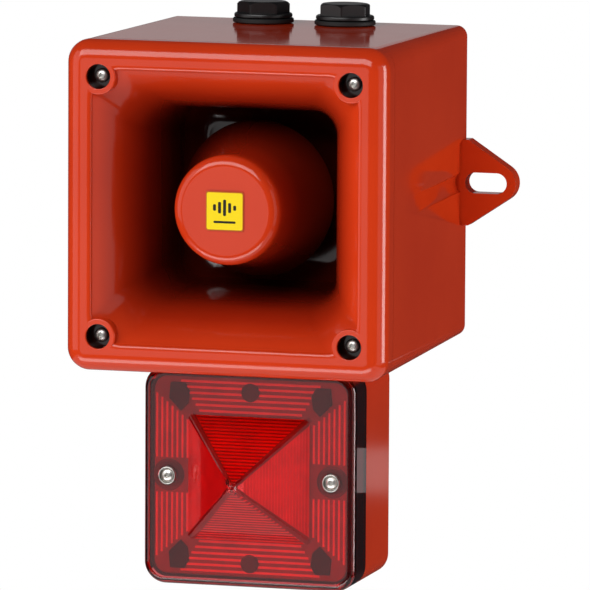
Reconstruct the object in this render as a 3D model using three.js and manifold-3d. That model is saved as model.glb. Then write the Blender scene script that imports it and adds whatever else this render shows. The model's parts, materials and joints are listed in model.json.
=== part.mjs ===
// Wall horn with a strobe beacon under it. Millimetres, +Z up, the front looks along -Y.
// The origin is on the wall plane, in the middle between the two mounting lugs.
import * as THREE from "three";
import { mergeVertices } from "three/addons/utils/BufferGeometryUtils.js";
import Module from "manifold-3d";

const wasm = await Module();
wasm.setup();

// Horn box
const FACE_HALF = 67;
const BACK_HALF = 64.4;
const DEPTH = 136;
const FACE_CORNER = 9.3;
const BACK_CORNER = 4.5;
const EDGE_ROUND = 7.5;
const SPLIT = 14.3;
const GAP = 0.3;
const HOUSING_FRONT = SPLIT + GAP;
const WALL = 4.2;
const BACK_WALL = 3.5;
const COVER_WALL = 3;
const SEAL_WIDTH = 1.1;
const COVER_SEAL_HALF = 65;
const COVER_SEAL_CORNER = 8;
const COVER_SEAL_BACK = SPLIT + 2.4;

// Horn mouth and flare, by depth behind the front face
const LIP_HALF = 57.3;
const THROAT_HALF = 36;
const FLARE_LENGTH = 15;
const FLARE_BOTTOM = 72;
const BOWL_ROUND = 9;
const FLARE_WALL = 2.6;
const FLARE_CORNER = 12.5;
const BOWL_CORNER = 10;
const THROAT_HOLE = 11;
const PLATE_BACK = FLARE_BOTTOM + FLARE_WALL;

// Cover screws
const SCREW_AT = 52.45;
const RECESS_RADIUS = 5;
const RECESS_DEPTH = 6;
const BOSS_RADIUS = 7.3;
const HEAD_RADIUS = 2.9;
const HEAD_TOP = 3.4;
const SHANK_RADIUS = 1.5;

// Reflector in the middle of the mouth
const DISC_RADIUS = 22.2;
const DISC_TOP = 2.5;
const DISC_EDGE = 4.5;
const RIM_RADIUS = 32.2;
const RIM_DEPTH = 50;
const BELL_CURVE = 2.2;
const BELL_WALL = 2.2;
const LEG_RADIUS = 4;
const LEG_OUT = 24;
const DRIVER_SCREW_OUT = 31;
const LABEL_HALF = 7.9;
const LABEL_CORNER = 1;
const LABEL_THICK = 0.25;

// Wall lugs
const LUG_THICK = 7.2;
const LUG_TIP = 87.1;
const LUG_TIP_RADIUS = 8;
const LUG_ROOT_HALF = 17.8;
const SLOT_AT = 74.4;
const SLOT_LENGTH = 17.7;
const SLOT_WIDTH = 8.6;
const POCKET_APEX = 26;
const POCKET_DEPTH = 1.1;
const GROOVE_FRONT = 54;
const GROOVE_RADIUS = 3.9;

// Cable entries on the top
const ENTRY_X = 17.5;
const ENTRY_DEPTH = 115.5;
const ENTRY_RADIUS = 10.3;
const THREAD_RADIUS = 9.8;

// Beacon
const BEACON_HALF = 44.7;
const BEACON_Z = -113.5;
const BEACON_CORNER = 9;
const LENS_FRONT = 37.7;
const LENS_BACK = 54.8;
const BASE_BACK = 91.5;
const PYRAMID_HALF = 25.5;
const APEX_DEPTH = 11.5;
const LENS_WALL = 2.4;
const LENS_EDGE = 3.2;
const LENS_SCREW_X = 34.6;
const PEG_AT = 35.1;
const NIPPLE_DEPTH = 73.3;
const NIPPLE_RADIUS = 7.8;
const NIPPLE_BORE = 5.4;
const NIPPLE_NUT_FLATS = 22;

// The corner posts, and the board's place on its standoffs.
const IN_BACK_WALL = DEPTH - 2;
const POST_RADIUS = 6.5;
const WEB_AT = 57.3;
const WEB_SIZE = 9.4;
const RIB_AT = 60.4;
const STANDOFF_RADIUS = 3.4;
const BOARD_BACK = 126;
const BOARD_THICK = 1.6;
const BOARD_FACE = BOARD_BACK - BOARD_THICK;
const boardPlaces = [["top_left", -38, 22], ["top_right", 38, 22],
  ["bottom_left", -38, -30], ["bottom_right", 38, -30]];

const SIDES = 24;
const group = new THREE.Group();

// A depth behind the front face as a Y of the frame.
const deep = (depth) => depth - DEPTH;

// Half width of the drafted box at a depth.
const boxHalf = (depth) => FACE_HALF + (BACK_HALF - FACE_HALF) * depth / DEPTH;
const boxCorner = (depth) => FACE_CORNER + (BACK_CORNER - FACE_CORNER) * depth / DEPTH;
const DRAFT = Math.atan((FACE_HALF - BACK_HALF) / DEPTH);

// ---- solids -------------------------------------------------------------------------------

function solid(geometry) {
  const bare = geometry.clone();
  bare.deleteAttribute("normal");
  bare.deleteAttribute("uv");
  const merged = mergeVertices(bare, 1e-4);
  const triangles = [];
  for (let i = 0; i < merged.index.count; i += 3) {
    const [a, b, c] = [0, 1, 2].map((k) => merged.index.getX(i + k));
    if (a !== b && b !== c && c !== a) triangles.push(a, b, c);
  }
  return new wasm.Manifold(new wasm.Mesh({
    numProp: 3,
    vertProperties: new Float32Array(merged.attributes.position.array),
    triVerts: new Uint32Array(triangles),
  }));
}

const join = (first, ...others) => others.reduce((sum, part) => sum.add(part), first);
const cut = (first, ...others) => others.reduce((rest, part) => rest.subtract(part), first);

function geometryOf(body) {
  const mesh = body.getMesh();
  const geometry = new THREE.BufferGeometry();
  geometry.setAttribute("position", new THREE.BufferAttribute(new Float32Array(mesh.vertProperties), 3));
  geometry.setIndex(new THREE.BufferAttribute(new Uint32Array(mesh.triVerts), 1));
  return geometry;
}

function look(colour, roughness, metalness = 0) {
  return { color: colour, roughness, metalness };
}

const RED_SHELL = look(0xb02a14, 0.22);
const RED_LENS = look(0x8c0a12, 0.08);
const BLACK_NYLON = look(0x141213, 0.38);
const BLACK_RUBBER = look(0x0c0c0c, 0.8);
const STEEL = look(0xc6c3bd, 0.28, 1);
const DARK_STEEL = look(0x4a4c50, 0.45, 1);
const FERRITE = look(0x2b2b2e, 0.7);
const BOARD = look(0x1f5a34, 0.5);
const GREEN_PLASTIC = look(0x2f7d46, 0.45);
const WHITE_PLASTIC = look(0xe6e4de, 0.45);
const COPPER = look(0xa5602f, 0.4, 1);
const YELLOW_FILM = look(0xffe100, 0.4);
const MIRROR = look(0xd9dadb, 0.12, 1);
const GLASS = look(0xdfe7ea, 0.05);
const FILM = look(0xc79b4a, 0.5);
const BLUE_PLASTIC = look(0x2f5fa8, 0.5);
const CAN_BLUE = look(0x1d2a52, 0.4);

function piece(name, body, finish, parent = group) {
  const geometry = body instanceof THREE.BufferGeometry ? body : geometryOf(body);
  const mesh = new THREE.Mesh(geometry, new THREE.MeshStandardMaterial(finish));
  mesh.name = name;
  parent.add(mesh);
  return mesh;
}

// ---- shape helpers ------------------------------------------------------------------------

const UNIT_CORNER = 0.25;

function unitSquare() {
  const inner = 1 - UNIT_CORNER;
  const shape = new THREE.Shape();
  const centres = [[inner, inner], [-inner, inner], [-inner, -inner], [inner, -inner]];
  centres.forEach(([x, y], turn) => {
    const start = turn * Math.PI / 2;
    shape.absarc(x, y, UNIT_CORNER, start, start + Math.PI / 2, false);
  });
  return shape;
}

function cornered(value, half, radius) {
  const side = Math.sign(value);
  return side * (half - radius) + (value - side * (1 - UNIT_CORNER)) / UNIT_CORNER * radius;
}

// A rounded square that changes along the depth: stations are [depth, half, corner radius].
function lofted(stations, curveSegments = 2) {
  const steps = stations.length - 1;
  const options = { depth: steps, steps, bevelEnabled: false, curveSegments };
  const geometry = new THREE.ExtrudeGeometry(unitSquare(), options);
  const place = geometry.attributes.position;
  for (let i = 0; i < place.count; i += 1) {
    const [depth, half, radius] = stations[Math.round(place.getZ(i))];
    const x = cornered(place.getX(i), half, radius);
    const z = cornered(-place.getY(i), half, radius);
    place.setXYZ(i, x, deep(depth), z);
  }
  return solid(geometry);
}

// Stations of a square body whose front edge is rounded over.
function roundedFront(front, half, corner, round, steps = 4) {
  return Array.from({ length: steps + 1 }, (_, i) => {
    const turn = i / steps * Math.PI / 2;
    const inset = round * (1 - Math.sin(turn));
    return [front + round * (1 - Math.cos(turn)), half - inset, corner - inset];
  });
}

// A turned solid on a Y axis: the profile is a list of [radius, depth].
function turned(profile, sides = SIDES) {
  const points = profile.map(([radius, depth]) => new THREE.Vector2(radius, deep(depth)));
  return new THREE.LatheGeometry(points, sides);
}

// A turned ring or tube on a Y axis.
function collar(inner, outer, front, back, sides = SIDES) {
  return turned([[inner, front], [outer, front], [outer, back], [inner, back], [inner, front]], sides);
}

function rod(radius, front, back, x = 0, z = 0, sides = 14) {
  const geometry = new THREE.CylinderGeometry(radius, radius, back - front, sides);
  return geometry.translate(x, deep((front + back) / 2), z);
}

// A block by its middle across and up, its sizes, and its depths.
function block(x, z, wide, high, front, back) {
  return new THREE.BoxGeometry(wide, back - front, high).translate(x, deep((front + back) / 2), z);
}

// An outline in X and Z, run from one depth to another.
function plate(shape, front, back, curveSegments = 6) {
  const options = { depth: back - front, bevelEnabled: false, curveSegments };
  return new THREE.ExtrudeGeometry(shape, options).rotateX(Math.PI / 2).translate(0, deep(back), 0);
}

// An upright turned solid: the profile is a list of [radius, height].
function upright(profile, sides = SIDES) {
  const points = profile.map(([radius, height]) => new THREE.Vector2(radius, height));
  return new THREE.LatheGeometry(points, sides).rotateX(Math.PI / 2);
}

function uprightRing(inner, outer, low, high, sides = SIDES) {
  return upright([[inner, low], [outer, low], [outer, high], [inner, high], [inner, low]], sides);
}

function hexagon(acrossFlats, hole = 0) {
  const corner = acrossFlats / Math.sqrt(3);
  const points = Array.from({ length: 6 }, (_, i) => {
    const turn = i * Math.PI / 3;
    return new THREE.Vector2(corner * Math.cos(turn), corner * Math.sin(turn));
  });
  const shape = new THREE.Shape(points);
  if (hole) shape.holes.push(new THREE.Path().absarc(0, 0, hole, 0, Math.PI * 2, true));
  return shape;
}

function uprightHexagon(acrossFlats, low, high, hole = 0) {
  const options = { depth: high - low, bevelEnabled: false, curveSegments: 12 };
  return new THREE.ExtrudeGeometry(hexagon(acrossFlats, hole), options).translate(0, 0, low);
}

const corners = [["top_left", -1, 1], ["top_right", 1, 1], ["bottom_left", -1, -1], ["bottom_right", 1, -1]];

// Three legs carry the reflector, two screws the driver, all on the bottom of the flare.
const legPlaces = [90, 210, 330].map((degrees) => {
  const turn = degrees * Math.PI / 180;
  return [LEG_OUT * Math.cos(turn), LEG_OUT * Math.sin(turn)];
});
const driverScrewPlaces = [[-DRIVER_SCREW_OUT, 0], [DRIVER_SCREW_OUT, 0]];

// ---- screws -------------------------------------------------------------------------------

// A pan head screw with a cross recess, its head looking at -Y.
function panScrew(head, shank, headTop, headHeight, tip, x, z) {
  const dome = [[0, headTop], [head * 0.85, headTop + headHeight * 0.3]];
  const seat = headTop + headHeight;
  const rest = [[head, headTop + headHeight * 0.7], [head, seat], [shank, seat], [shank, tip - shank]];
  const body = solid(turned([...dome, ...rest, [0, tip]], 12));
  const reach = headHeight * 0.62;
  const slots = [[head * 1.15, 0.8], [0.8, head * 1.15]].map(([wide, high]) =>
    solid(block(0, 0, wide, high, headTop - 1, headTop + reach)));
  return cut(body, ...slots).translate([x, 0, z]);
}

// ---- front cover --------------------------------------------------------------------------

const flareHalf = (depth) => THROAT_HALF + (LIP_HALF - THROAT_HALF) * Math.exp(-depth / FLARE_LENGTH);
const flareCorner = (depth) => FLARE_CORNER + (BOWL_CORNER - FLARE_CORNER) * Math.min(1, depth / 40);

// Stations of the flare surface, moved out by the wall thickness for its outside.
function flareStations(outward) {
  const straight = [1.5, 5, 10, 16, 24, 36, FLARE_BOTTOM - BOWL_ROUND];
  const walls = straight.map((depth) => [depth, flareHalf(depth) + outward, flareCorner(depth) + outward]);
  const bowlTop = FLARE_BOTTOM - BOWL_ROUND;
  const wide = flareHalf(bowlTop) + outward;
  const round = BOWL_ROUND + outward;
  const bowl = [30, 60, 90].map((degrees) => {
    const turn = degrees * Math.PI / 180;
    const inset = round * (1 - Math.cos(turn));
    return [bowlTop + round * Math.sin(turn), wide - inset, BOWL_CORNER + outward - inset * 0.5];
  });
  return [...walls, ...bowl];
}

function coverShell() {
  const skin = [...roundedFront(0, FACE_HALF, FACE_CORNER, EDGE_ROUND),
    [SPLIT, boxHalf(SPLIT), boxCorner(SPLIT)]];
  const hollow = FACE_HALF - COVER_WALL;
  const inside = [[COVER_WALL, hollow - 3, 6], [6, hollow, 6], [SPLIT + 1, hollow, 6]];
  return cut(lofted(skin), lofted(inside));
}

function frontCover() {
  const flare = lofted([[1, LIP_HALF + 2, 13], ...flareStations(FLARE_WALL)]);
  const mouth = lofted([[-1, LIP_HALF + 1.6, 13.5], [0.2, LIP_HALF + 0.5, 13], ...flareStations(0)]);
  const bosses = corners.map(([, x, z]) =>
    solid(rod(BOSS_RADIUS, 0, SPLIT, x * SCREW_AT, z * SCREW_AT, 20)));
  const recesses = corners.map(([, x, z]) =>
    solid(rod(RECESS_RADIUS, -1, RECESS_DEPTH, x * SCREW_AT, z * SCREW_AT, 16)));
  const clearances = corners.map(([, x, z]) =>
    solid(rod(SHANK_RADIUS + GAP, RECESS_DEPTH - 1, SPLIT + 1, x * SCREW_AT, z * SCREW_AT, 16)));
  const hole = solid(rod(THROAT_HOLE, FLARE_BOTTOM - 2, FLARE_BOTTOM + 5, 0, 0, SIDES));
  const driverScrews = driverScrewPlaces.map(([x, z]) =>
    solid(rod(SHANK_RADIUS + GAP, FLARE_BOTTOM + 0.8, FLARE_BOTTOM + 5, x, z, 12)));
  const shell = cut(join(coverShell(), flare), mouth);
  return cut(join(shell, ...bosses), ...recesses, ...clearances, hole, ...driverScrews);
}

// A seal that runs round a rounded square, and the groove that holds it.
function rimSeal(half, corner, front, back) {
  const inner = half - SEAL_WIDTH;
  const innerCorner = corner - SEAL_WIDTH;
  return cut(lofted([[front, half, corner], [back, half, corner]]),
    lofted([[front - 1, inner, innerCorner], [back + 1, inner, innerCorner]]));
}

function rimGroove(half, corner, front, back) {
  const outer = half + GAP;
  const outerCorner = corner + GAP;
  const inner = half - SEAL_WIDTH - GAP;
  const innerCorner = corner - SEAL_WIDTH - GAP;
  return cut(lofted([[front - 1, outer, outerCorner], [back + GAP, outer, outerCorner]]),
    lofted([[front - 2, inner, innerCorner], [back + 1, inner, innerCorner]]));
}

// ---- reflector ----------------------------------------------------------------------------

function bellRadius(depth) {
  const along = (depth - DISC_TOP) / (RIM_DEPTH - DISC_TOP);
  return DISC_RADIUS + (RIM_RADIUS - DISC_RADIUS) * along ** BELL_CURVE;
}

function reflector() {
  const rounding = [0, 30, 60, 90].map((degrees) => {
    const turn = degrees * Math.PI / 180;
    return [DISC_RADIUS - DISC_EDGE * (1 - Math.sin(turn)), DISC_TOP + DISC_EDGE * (1 - Math.cos(turn))];
  });
  const outside = [14, 26, 38, RIM_DEPTH].map((depth) => [bellRadius(depth), depth]);
  const inside = [RIM_DEPTH, 38, 26, 14].map((depth) => [bellRadius(depth) - BELL_WALL, depth]);
  const crown = [[DISC_RADIUS - BELL_WALL - 4, DISC_TOP + 3.2], [0, DISC_TOP + 3.2]];
  const bell = solid(turned([[0, DISC_TOP], ...rounding, ...outside, ...inside, ...crown], 28));
  const legs = legPlaces.map(([x, z]) => solid(rod(LEG_RADIUS, 20, FLARE_BOTTOM - GAP, x, z, 10)));
  const shape = solid(turned([[0, DISC_TOP], ...rounding, ...outside, [0, RIM_DEPTH]], 28));
  const behind = solid(rod(40, RIM_DEPTH - 0.01, FLARE_BOTTOM, 0, 0, 8));
  const clipped = legs.map((leg) => leg.intersect(join(shape, behind)));
  return join(bell, ...clipped);
}

function label() {
  const shape = new THREE.Shape();
  const radius = LABEL_CORNER;
  const inner = LABEL_HALF - radius;
  [[inner, inner], [-inner, inner], [-inner, -inner], [inner, -inner]].forEach(([x, y], turn) => {
    const start = turn * Math.PI / 2;
    shape.absarc(x, y, radius, start, start + Math.PI / 2, false);
  });
  return solid(plate(shape, DISC_TOP - GAP - LABEL_THICK, DISC_TOP - GAP, 3));
}

// ---- rear housing -------------------------------------------------------------------------

function lugShape(side) {
  const tip = LUG_TIP - LUG_TIP_RADIUS;
  const root = BACK_HALF - 3;
  const shoulder = BACK_HALF + 2.4;
  const reach = Math.hypot(tip - shoulder, LUG_ROOT_HALF);
  const bearing = Math.atan2(LUG_ROOT_HALF, shoulder - tip);
  const tangent = bearing - Math.acos(LUG_TIP_RADIUS / reach);
  const shape = new THREE.Shape();
  shape.moveTo(root, -LUG_ROOT_HALF);
  shape.lineTo(shoulder, -LUG_ROOT_HALF);
  shape.absarc(tip, 0, LUG_TIP_RADIUS, -tangent, tangent, false);
  shape.lineTo(shoulder, LUG_ROOT_HALF);
  shape.lineTo(root, LUG_ROOT_HALF);
  return side > 0 ? shape : mirrored(shape);
}

function mirrored(shape) {
  const points = shape.getPoints(6).map((point) => new THREE.Vector2(-point.x, point.y));
  return new THREE.Shape(points.reverse());
}

function slotShape(x) {
  const radius = SLOT_WIDTH / 2;
  const half = SLOT_LENGTH / 2 - radius;
  const shape = new THREE.Shape();
  shape.absarc(x + half, 0, radius, -Math.PI / 2, Math.PI / 2, false);
  shape.absarc(x - half, 0, radius, Math.PI / 2, Math.PI * 1.5, false);
  return shape;
}

// The shallow flared pocket in the side wall ahead of each lug.
function pocket(side) {
  const end = DEPTH - LUG_THICK;
  const outline = new THREE.Shape([
    new THREE.Vector2(end, -LUG_ROOT_HALF),
    new THREE.Vector2(end, LUG_ROOT_HALF),
    new THREE.Vector2(POCKET_APEX, 0),
  ]);
  const wedge = new THREE.ExtrudeGeometry(outline, { depth: 10, bevelEnabled: false });
  const place = wedge.attributes.position;
  for (let i = 0; i < place.count; i += 1) {
    const depth = place.getX(i);
    const floor = boxHalf(depth) - POCKET_DEPTH * (depth - POCKET_APEX) / (end - POCKET_APEX);
    place.setXYZ(i, side * (floor + place.getZ(i)), deep(depth), place.getY(i));
  }
  return solid(side > 0 ? wedge : flipped(wedge));
}

function flipped(geometry) {
  const place = geometry.attributes.position;
  const swap = new THREE.Vector3();
  const other = new THREE.Vector3();
  for (let i = 0; i < place.count; i += 3) {
    swap.fromBufferAttribute(place, i);
    other.fromBufferAttribute(place, i + 1);
    place.setXYZ(i, other.x, other.y, other.z);
    place.setXYZ(i + 1, swap.x, swap.y, swap.z);
  }
  return geometry;
}

// The half-round groove that lets a screwdriver reach the slot.
function driverGroove(side) {
  const length = DEPTH - LUG_THICK - GROOVE_FRONT;
  const slope = 2 / length;
  const groove = new THREE.CylinderGeometry(GROOVE_RADIUS, GROOVE_RADIUS, length, 16);
  groove.rotateZ(side * (slope + DRAFT));
  const middle = GROOVE_FRONT + length / 2;
  const out = boxHalf(middle) + GROOVE_RADIUS - 1.5;
  return solid(groove.translate(side * out, deep(middle), 0));
}

function housingShell() {
  const skin = [[HOUSING_FRONT, boxHalf(HOUSING_FRONT), boxCorner(HOUSING_FRONT)],
    [DEPTH - 1, boxHalf(DEPTH - 1), boxCorner(DEPTH - 1)], [DEPTH, BACK_HALF - 1, BACK_CORNER - 1]];
  const inside = [[HOUSING_FRONT - 1, boxHalf(HOUSING_FRONT) - WALL, 5.5],
    [DEPTH - BACK_WALL, BACK_HALF - WALL, 3]];
  return cut(lofted(skin), lofted(inside));
}

function cornerPosts() {
  return corners.flatMap(([, x, z]) => [
    solid(rod(POST_RADIUS, HOUSING_FRONT, IN_BACK_WALL, x * SCREW_AT, z * SCREW_AT)),
    solid(block(x * WEB_AT, z * WEB_AT, WEB_SIZE, WEB_SIZE, HOUSING_FRONT + 0.02, IN_BACK_WALL)),
  ]);
}

function housingHoles() {
  const slots = [-1, 1].map((side) =>
    solid(plate(slotShape(side * SLOT_AT), DEPTH - LUG_THICK - 9, DEPTH + 1, 5)));
  const entries = [-1, 1].map((side) => entryTool(side));
  const nipple = solid(uprightRing(0, NIPPLE_RADIUS + GAP, -BACK_HALF - 5, -BACK_HALF + 8));
  const pilots = corners.map(([, x, z]) =>
    solid(rod(SHANK_RADIUS + GAP, SPLIT - 1, HOUSING_FRONT + 22, x * SCREW_AT, z * SCREW_AT, 16)));
  const fixings = boardPlaces.map(([, x, z]) => solid(rod(1.5, BOARD_BACK - 2, DEPTH - 3, x, z, 10)));
  return [...entries, nipple.translate([0, deep(NIPPLE_DEPTH), 0]), ...pilots, ...fixings, ...slots];
}

// A cable entry stands square to the drafted top face.
function entryFrame(side) {
  const frame = new THREE.Group();
  frame.position.set(side * ENTRY_X, deep(ENTRY_DEPTH), boxHalf(ENTRY_DEPTH));
  frame.rotation.x = -DRAFT;
  return frame;
}

function entryTool(side) {
  const frame = entryFrame(side);
  frame.updateMatrix();
  return solid(new THREE.CylinderGeometry(ENTRY_RADIUS, ENTRY_RADIUS, 16, SIDES)
    .rotateX(Math.PI / 2).applyMatrix4(frame.matrix));
}

function rearHousing() {
  const lugs = [-1, 1].map((side) => solid(plate(lugShape(side), DEPTH - LUG_THICK, DEPTH, 6)));
  const ribs = [-1, 1].map((side) => solid(block(side * RIB_AT, 0, 3, 12, 50, IN_BACK_WALL)));
  const standoffs = boardPlaces.map(([, x, z]) =>
    solid(rod(STANDOFF_RADIUS, BOARD_BACK + GAP, IN_BACK_WALL, x, z, 14)));
  const walls = join(housingShell(), ...ribs, ...standoffs, ...cornerPosts());
  const carved = cut(walls, ...[-1, 1].flatMap((side) => [pocket(side), driverGroove(side)]));
  const groove = rimGroove(COVER_SEAL_HALF, COVER_SEAL_CORNER, HOUSING_FRONT, COVER_SEAL_BACK);
  return cut(join(carved, ...lugs), groove, ...housingHoles());
}

// ---- driver and inner horn ----------------------------------------------------------------

const HORN_FLANGE_FRONT = PLATE_BACK + GAP;
const HORN_FLANGE_BACK = HORN_FLANGE_FRONT + 4;
const SPACER_BACK = HORN_FLANGE_BACK + GAP + 6.5;
const TOP_PLATE_BACK = SPACER_BACK + GAP + 4;
const MAGNET_BACK = TOP_PLATE_BACK + GAP + 11;
const YOKE_BACK = MAGNET_BACK + GAP + 4;

function innerHorn() {
  const flange = 34.5;
  const front = HORN_FLANGE_FRONT;
  const back = HORN_FLANGE_BACK;
  const outside = [[12.4, 15], [11, 30], [10, 50], [9.6, front], [flange, front], [flange, back]];
  const inside = [[5.2, back], [6, 60], [7.6, 40], [11.2, 15], [12.4, 15]];
  const body = solid(turned([...outside, ...inside]));
  const holes = driverScrewPlaces.map(([x, z]) =>
    solid(rod(SHANK_RADIUS + GAP, front - 1, back + 1, x, z, 12)));
  return cut(body, ...holes);
}

function diaphragm() {
  const front = HORN_FLANGE_BACK + 2.4;
  const face = [[0, front], [6, front + 0.4], [12.5, front + 2], [16, front + 1], [20.5, front + 2]];
  const behind = face.map(([radius, depth]) => [radius, depth + 0.8]).reverse();
  return turned([...face, ...behind]);
}

function yoke() {
  const pole = [[0, SPACER_BACK + GAP], [11.4, SPACER_BACK + GAP], [11.4, MAGNET_BACK + GAP]];
  const rest = [[27.5, MAGNET_BACK + GAP], [27.5, YOKE_BACK], [0, YOKE_BACK]];
  return turned([...pole, ...rest]);
}

function addDriver() {
  piece("inner_horn", innerHorn(), RED_SHELL);
  piece("driver_spacer", collar(22, 28, HORN_FLANGE_BACK + GAP, SPACER_BACK), BLACK_NYLON);
  piece("driver_top_plate", collar(13.8, 28, SPACER_BACK + GAP, TOP_PLATE_BACK), DARK_STEEL);
  piece("driver_magnet", collar(16, 27, TOP_PLATE_BACK + GAP, MAGNET_BACK), FERRITE);
  piece("driver_yoke", yoke(), DARK_STEEL);
  piece("diaphragm", diaphragm(), FILM);
  piece("voice_coil", collar(12, 13.1, HORN_FLANGE_BACK + 5.7, TOP_PLATE_BACK + 1), COPPER);
  const tip = FLARE_BOTTOM + 1.2;
  const [left, right] = driverScrewPlaces.map(([x, z]) => rearScrew(HORN_FLANGE_BACK, tip, x, z));
  piece("driver_screw_left", left, STEEL);
  piece("driver_screw_right", right, STEEL);
}

// A pan head screw driven from behind, its tip toward the front.
function rearScrew(seat, tip, x, z) {
  const headFront = seat + GAP;
  const headBack = headFront + 2.2;
  const shank = [[0, tip], [SHANK_RADIUS, tip + 0.8], [SHANK_RADIUS, headFront]];
  const head = [[HEAD_RADIUS, headFront], [HEAD_RADIUS * 0.9, headBack - 0.8], [0, headBack]];
  const body = solid(turned([...shank, ...head], 14));
  const slot = solid(block(0, 0, 3.4, 0.8, headBack - 1.2, headBack + 1));
  return cut(body, slot).translate([x, 0, z]);
}

// ---- main board ---------------------------------------------------------------------------

const DIP_AT = [24, -22];
const DIP_SLIDERS = 4;
const DIP_PITCH = 3;
const KNOB_AT = [30, 6];
const PLUG_AT = [7, -22];

function addMainBoard() {
  const board = solid(block(0, -4, 86, 62, BOARD_FACE, BOARD_BACK));
  const holes = boardPlaces.map(([, x, z]) => solid(rod(1.8, BOARD_FACE - 1, BOARD_BACK + 1, x, z, 12)));
  piece("main_board", cut(board, ...holes), BOARD);
  boardPlaces.forEach(([name, x, z]) => {
    const screw = solid(turned([[0, BOARD_FACE - 2.1], [2.4, BOARD_FACE - 1.6], [2.4, BOARD_FACE - GAP],
      [1.2, BOARD_FACE - GAP], [1.2, BOARD_BACK + 4], [0, BOARD_BACK + 4.8]], 12));
    piece(`board_screw_${name}`, screw.translate([x, 0, z]), STEEL);
  });
  addTerminals();
  addSwitches();
  piece("board_capacitor", rod(5, BOARD_FACE - 13, BOARD_FACE - GAP, -30, -20), BLACK_NYLON);
  piece("board_transformer", block(-29, -2, 15, 14, BOARD_FACE - 12, BOARD_FACE - GAP), FERRITE);
}

function addTerminals() {
  const at = 16;
  const ways = 6;
  const body = solid(block(0, at, 46, 10, BOARD_FACE - 12, BOARD_FACE - GAP));
  const wells = Array.from({ length: ways }, (_, i) => {
    const x = (i - (ways - 1) / 2) * 7.4;
    return [solid(rod(2.1, BOARD_FACE - 13, BOARD_FACE - 6, x, at, 12)),
      solid(block(x, at + 4.5, 4, 4, BOARD_FACE - 6, BOARD_FACE - 2.2))];
  });
  piece("terminal_block", cut(body, ...wells.flat()), GREEN_PLASTIC);
}

function addSwitches() {
  const [x, z] = DIP_AT;
  const body = solid(block(x, z, 15, 9, BOARD_FACE - 4.5, BOARD_FACE - GAP));
  const middle = (DIP_SLIDERS - 1) / 2;
  const places = Array.from({ length: DIP_SLIDERS }, (_, i) => x + (i - middle) * DIP_PITCH);
  const pits = places.map((at) => solid(block(at, z, 2, 5, BOARD_FACE - 6, BOARD_FACE - 2)));
  piece("tone_switch_body", cut(body, ...pits), BLUE_PLASTIC);
  places.forEach((at, i) => {
    const slider = block(at, z - 1, 1.4, 2, BOARD_FACE - 5.2, BOARD_FACE - 2.3);
    piece(`tone_slider_${i + 1}`, slider, WHITE_PLASTIC);
  });
  const [kx, kz] = KNOB_AT;
  piece("volume_body", block(kx, kz, 10, 10, BOARD_FACE - 5, BOARD_FACE - GAP), BLUE_PLASTIC);
  const knob = solid(rod(3.4, BOARD_FACE - 8, BOARD_FACE - 5 - GAP, kx, kz, 20));
  const driverSlot = solid(block(kx, kz, 5.4, 1, BOARD_FACE - 9, BOARD_FACE - 6.8));
  piece("volume_knob", cut(knob, driverSlot), WHITE_PLASTIC);
}

// ---- stopping plugs -----------------------------------------------------------------------

const WASHER_THICK = 1.8;
const WASHER_RADIUS = 12.6;
const FLANGE_RADIUS = 12;
const FLANGE_THICK = 1.8;
const HEX_FLATS = 19;
const HEX_HEIGHT = 4.9;
const THREAD_END = -11.5;
const LOCKNUT_FLATS = 25;
const LOCKNUT_THICK = 4.5;

function hexHead(low, high) {
  const prism = solid(uprightHexagon(HEX_FLATS, low, high));
  const corner = HEX_FLATS / Math.sqrt(3);
  const dome = solid(upright([[0, low - 1], [corner + 1, low - 1], [corner + 1, high - 2],
    [corner - 0.6, high - 0.7], [corner - 2.6, high], [0, high]], 24));
  return prism.intersect(dome);
}

function stoppingPlug() {
  const flangeLow = GAP + WASHER_THICK + GAP;
  const flangeHigh = flangeLow + FLANGE_THICK;
  const flange = solid(upright([[0, flangeLow], [FLANGE_RADIUS, flangeLow], [FLANGE_RADIUS, flangeHigh - 0.4],
    [FLANGE_RADIUS - 0.4, flangeHigh], [0, flangeHigh]], 24));
  const threadTop = flangeLow + 0.5;
  const thread = solid(upright([[0, THREAD_END], [THREAD_RADIUS - 1, THREAD_END],
    [THREAD_RADIUS, THREAD_END + 1], [THREAD_RADIUS, threadTop], [0, threadTop]], SIDES));
  const hollow = THREAD_RADIUS - 2.4;
  const bore = solid(upright([[0, -13], [hollow, -13], [hollow, flangeLow], [0, flangeLow]]));
  return cut(join(thread, flange, hexHead(flangeHigh - 0.5, flangeHigh + HEX_HEIGHT)), bore);
}

function addEntries() {
  [["left", -1, 0], ["right", 1, 20]].forEach(([name, side, turn]) => {
    const frame = entryFrame(side);
    group.add(frame);
    const plug = piece(`stopping_plug_${name}`, stoppingPlug(), BLACK_NYLON, frame);
    plug.rotation.z = turn * Math.PI / 180;
    const washer = uprightRing(ENTRY_RADIUS, WASHER_RADIUS, GAP, GAP + WASHER_THICK);
    piece(`plug_washer_${name}`, washer, BLACK_RUBBER, frame);
    const nutTop = -WALL - GAP;
    const nut = uprightHexagon(LOCKNUT_FLATS, nutTop - LOCKNUT_THICK, nutTop, ENTRY_RADIUS);
    piece(`plug_locknut_${name}`, nut, BLACK_NYLON, frame);
  });
}

// ---- beacon -------------------------------------------------------------------------------

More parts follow.
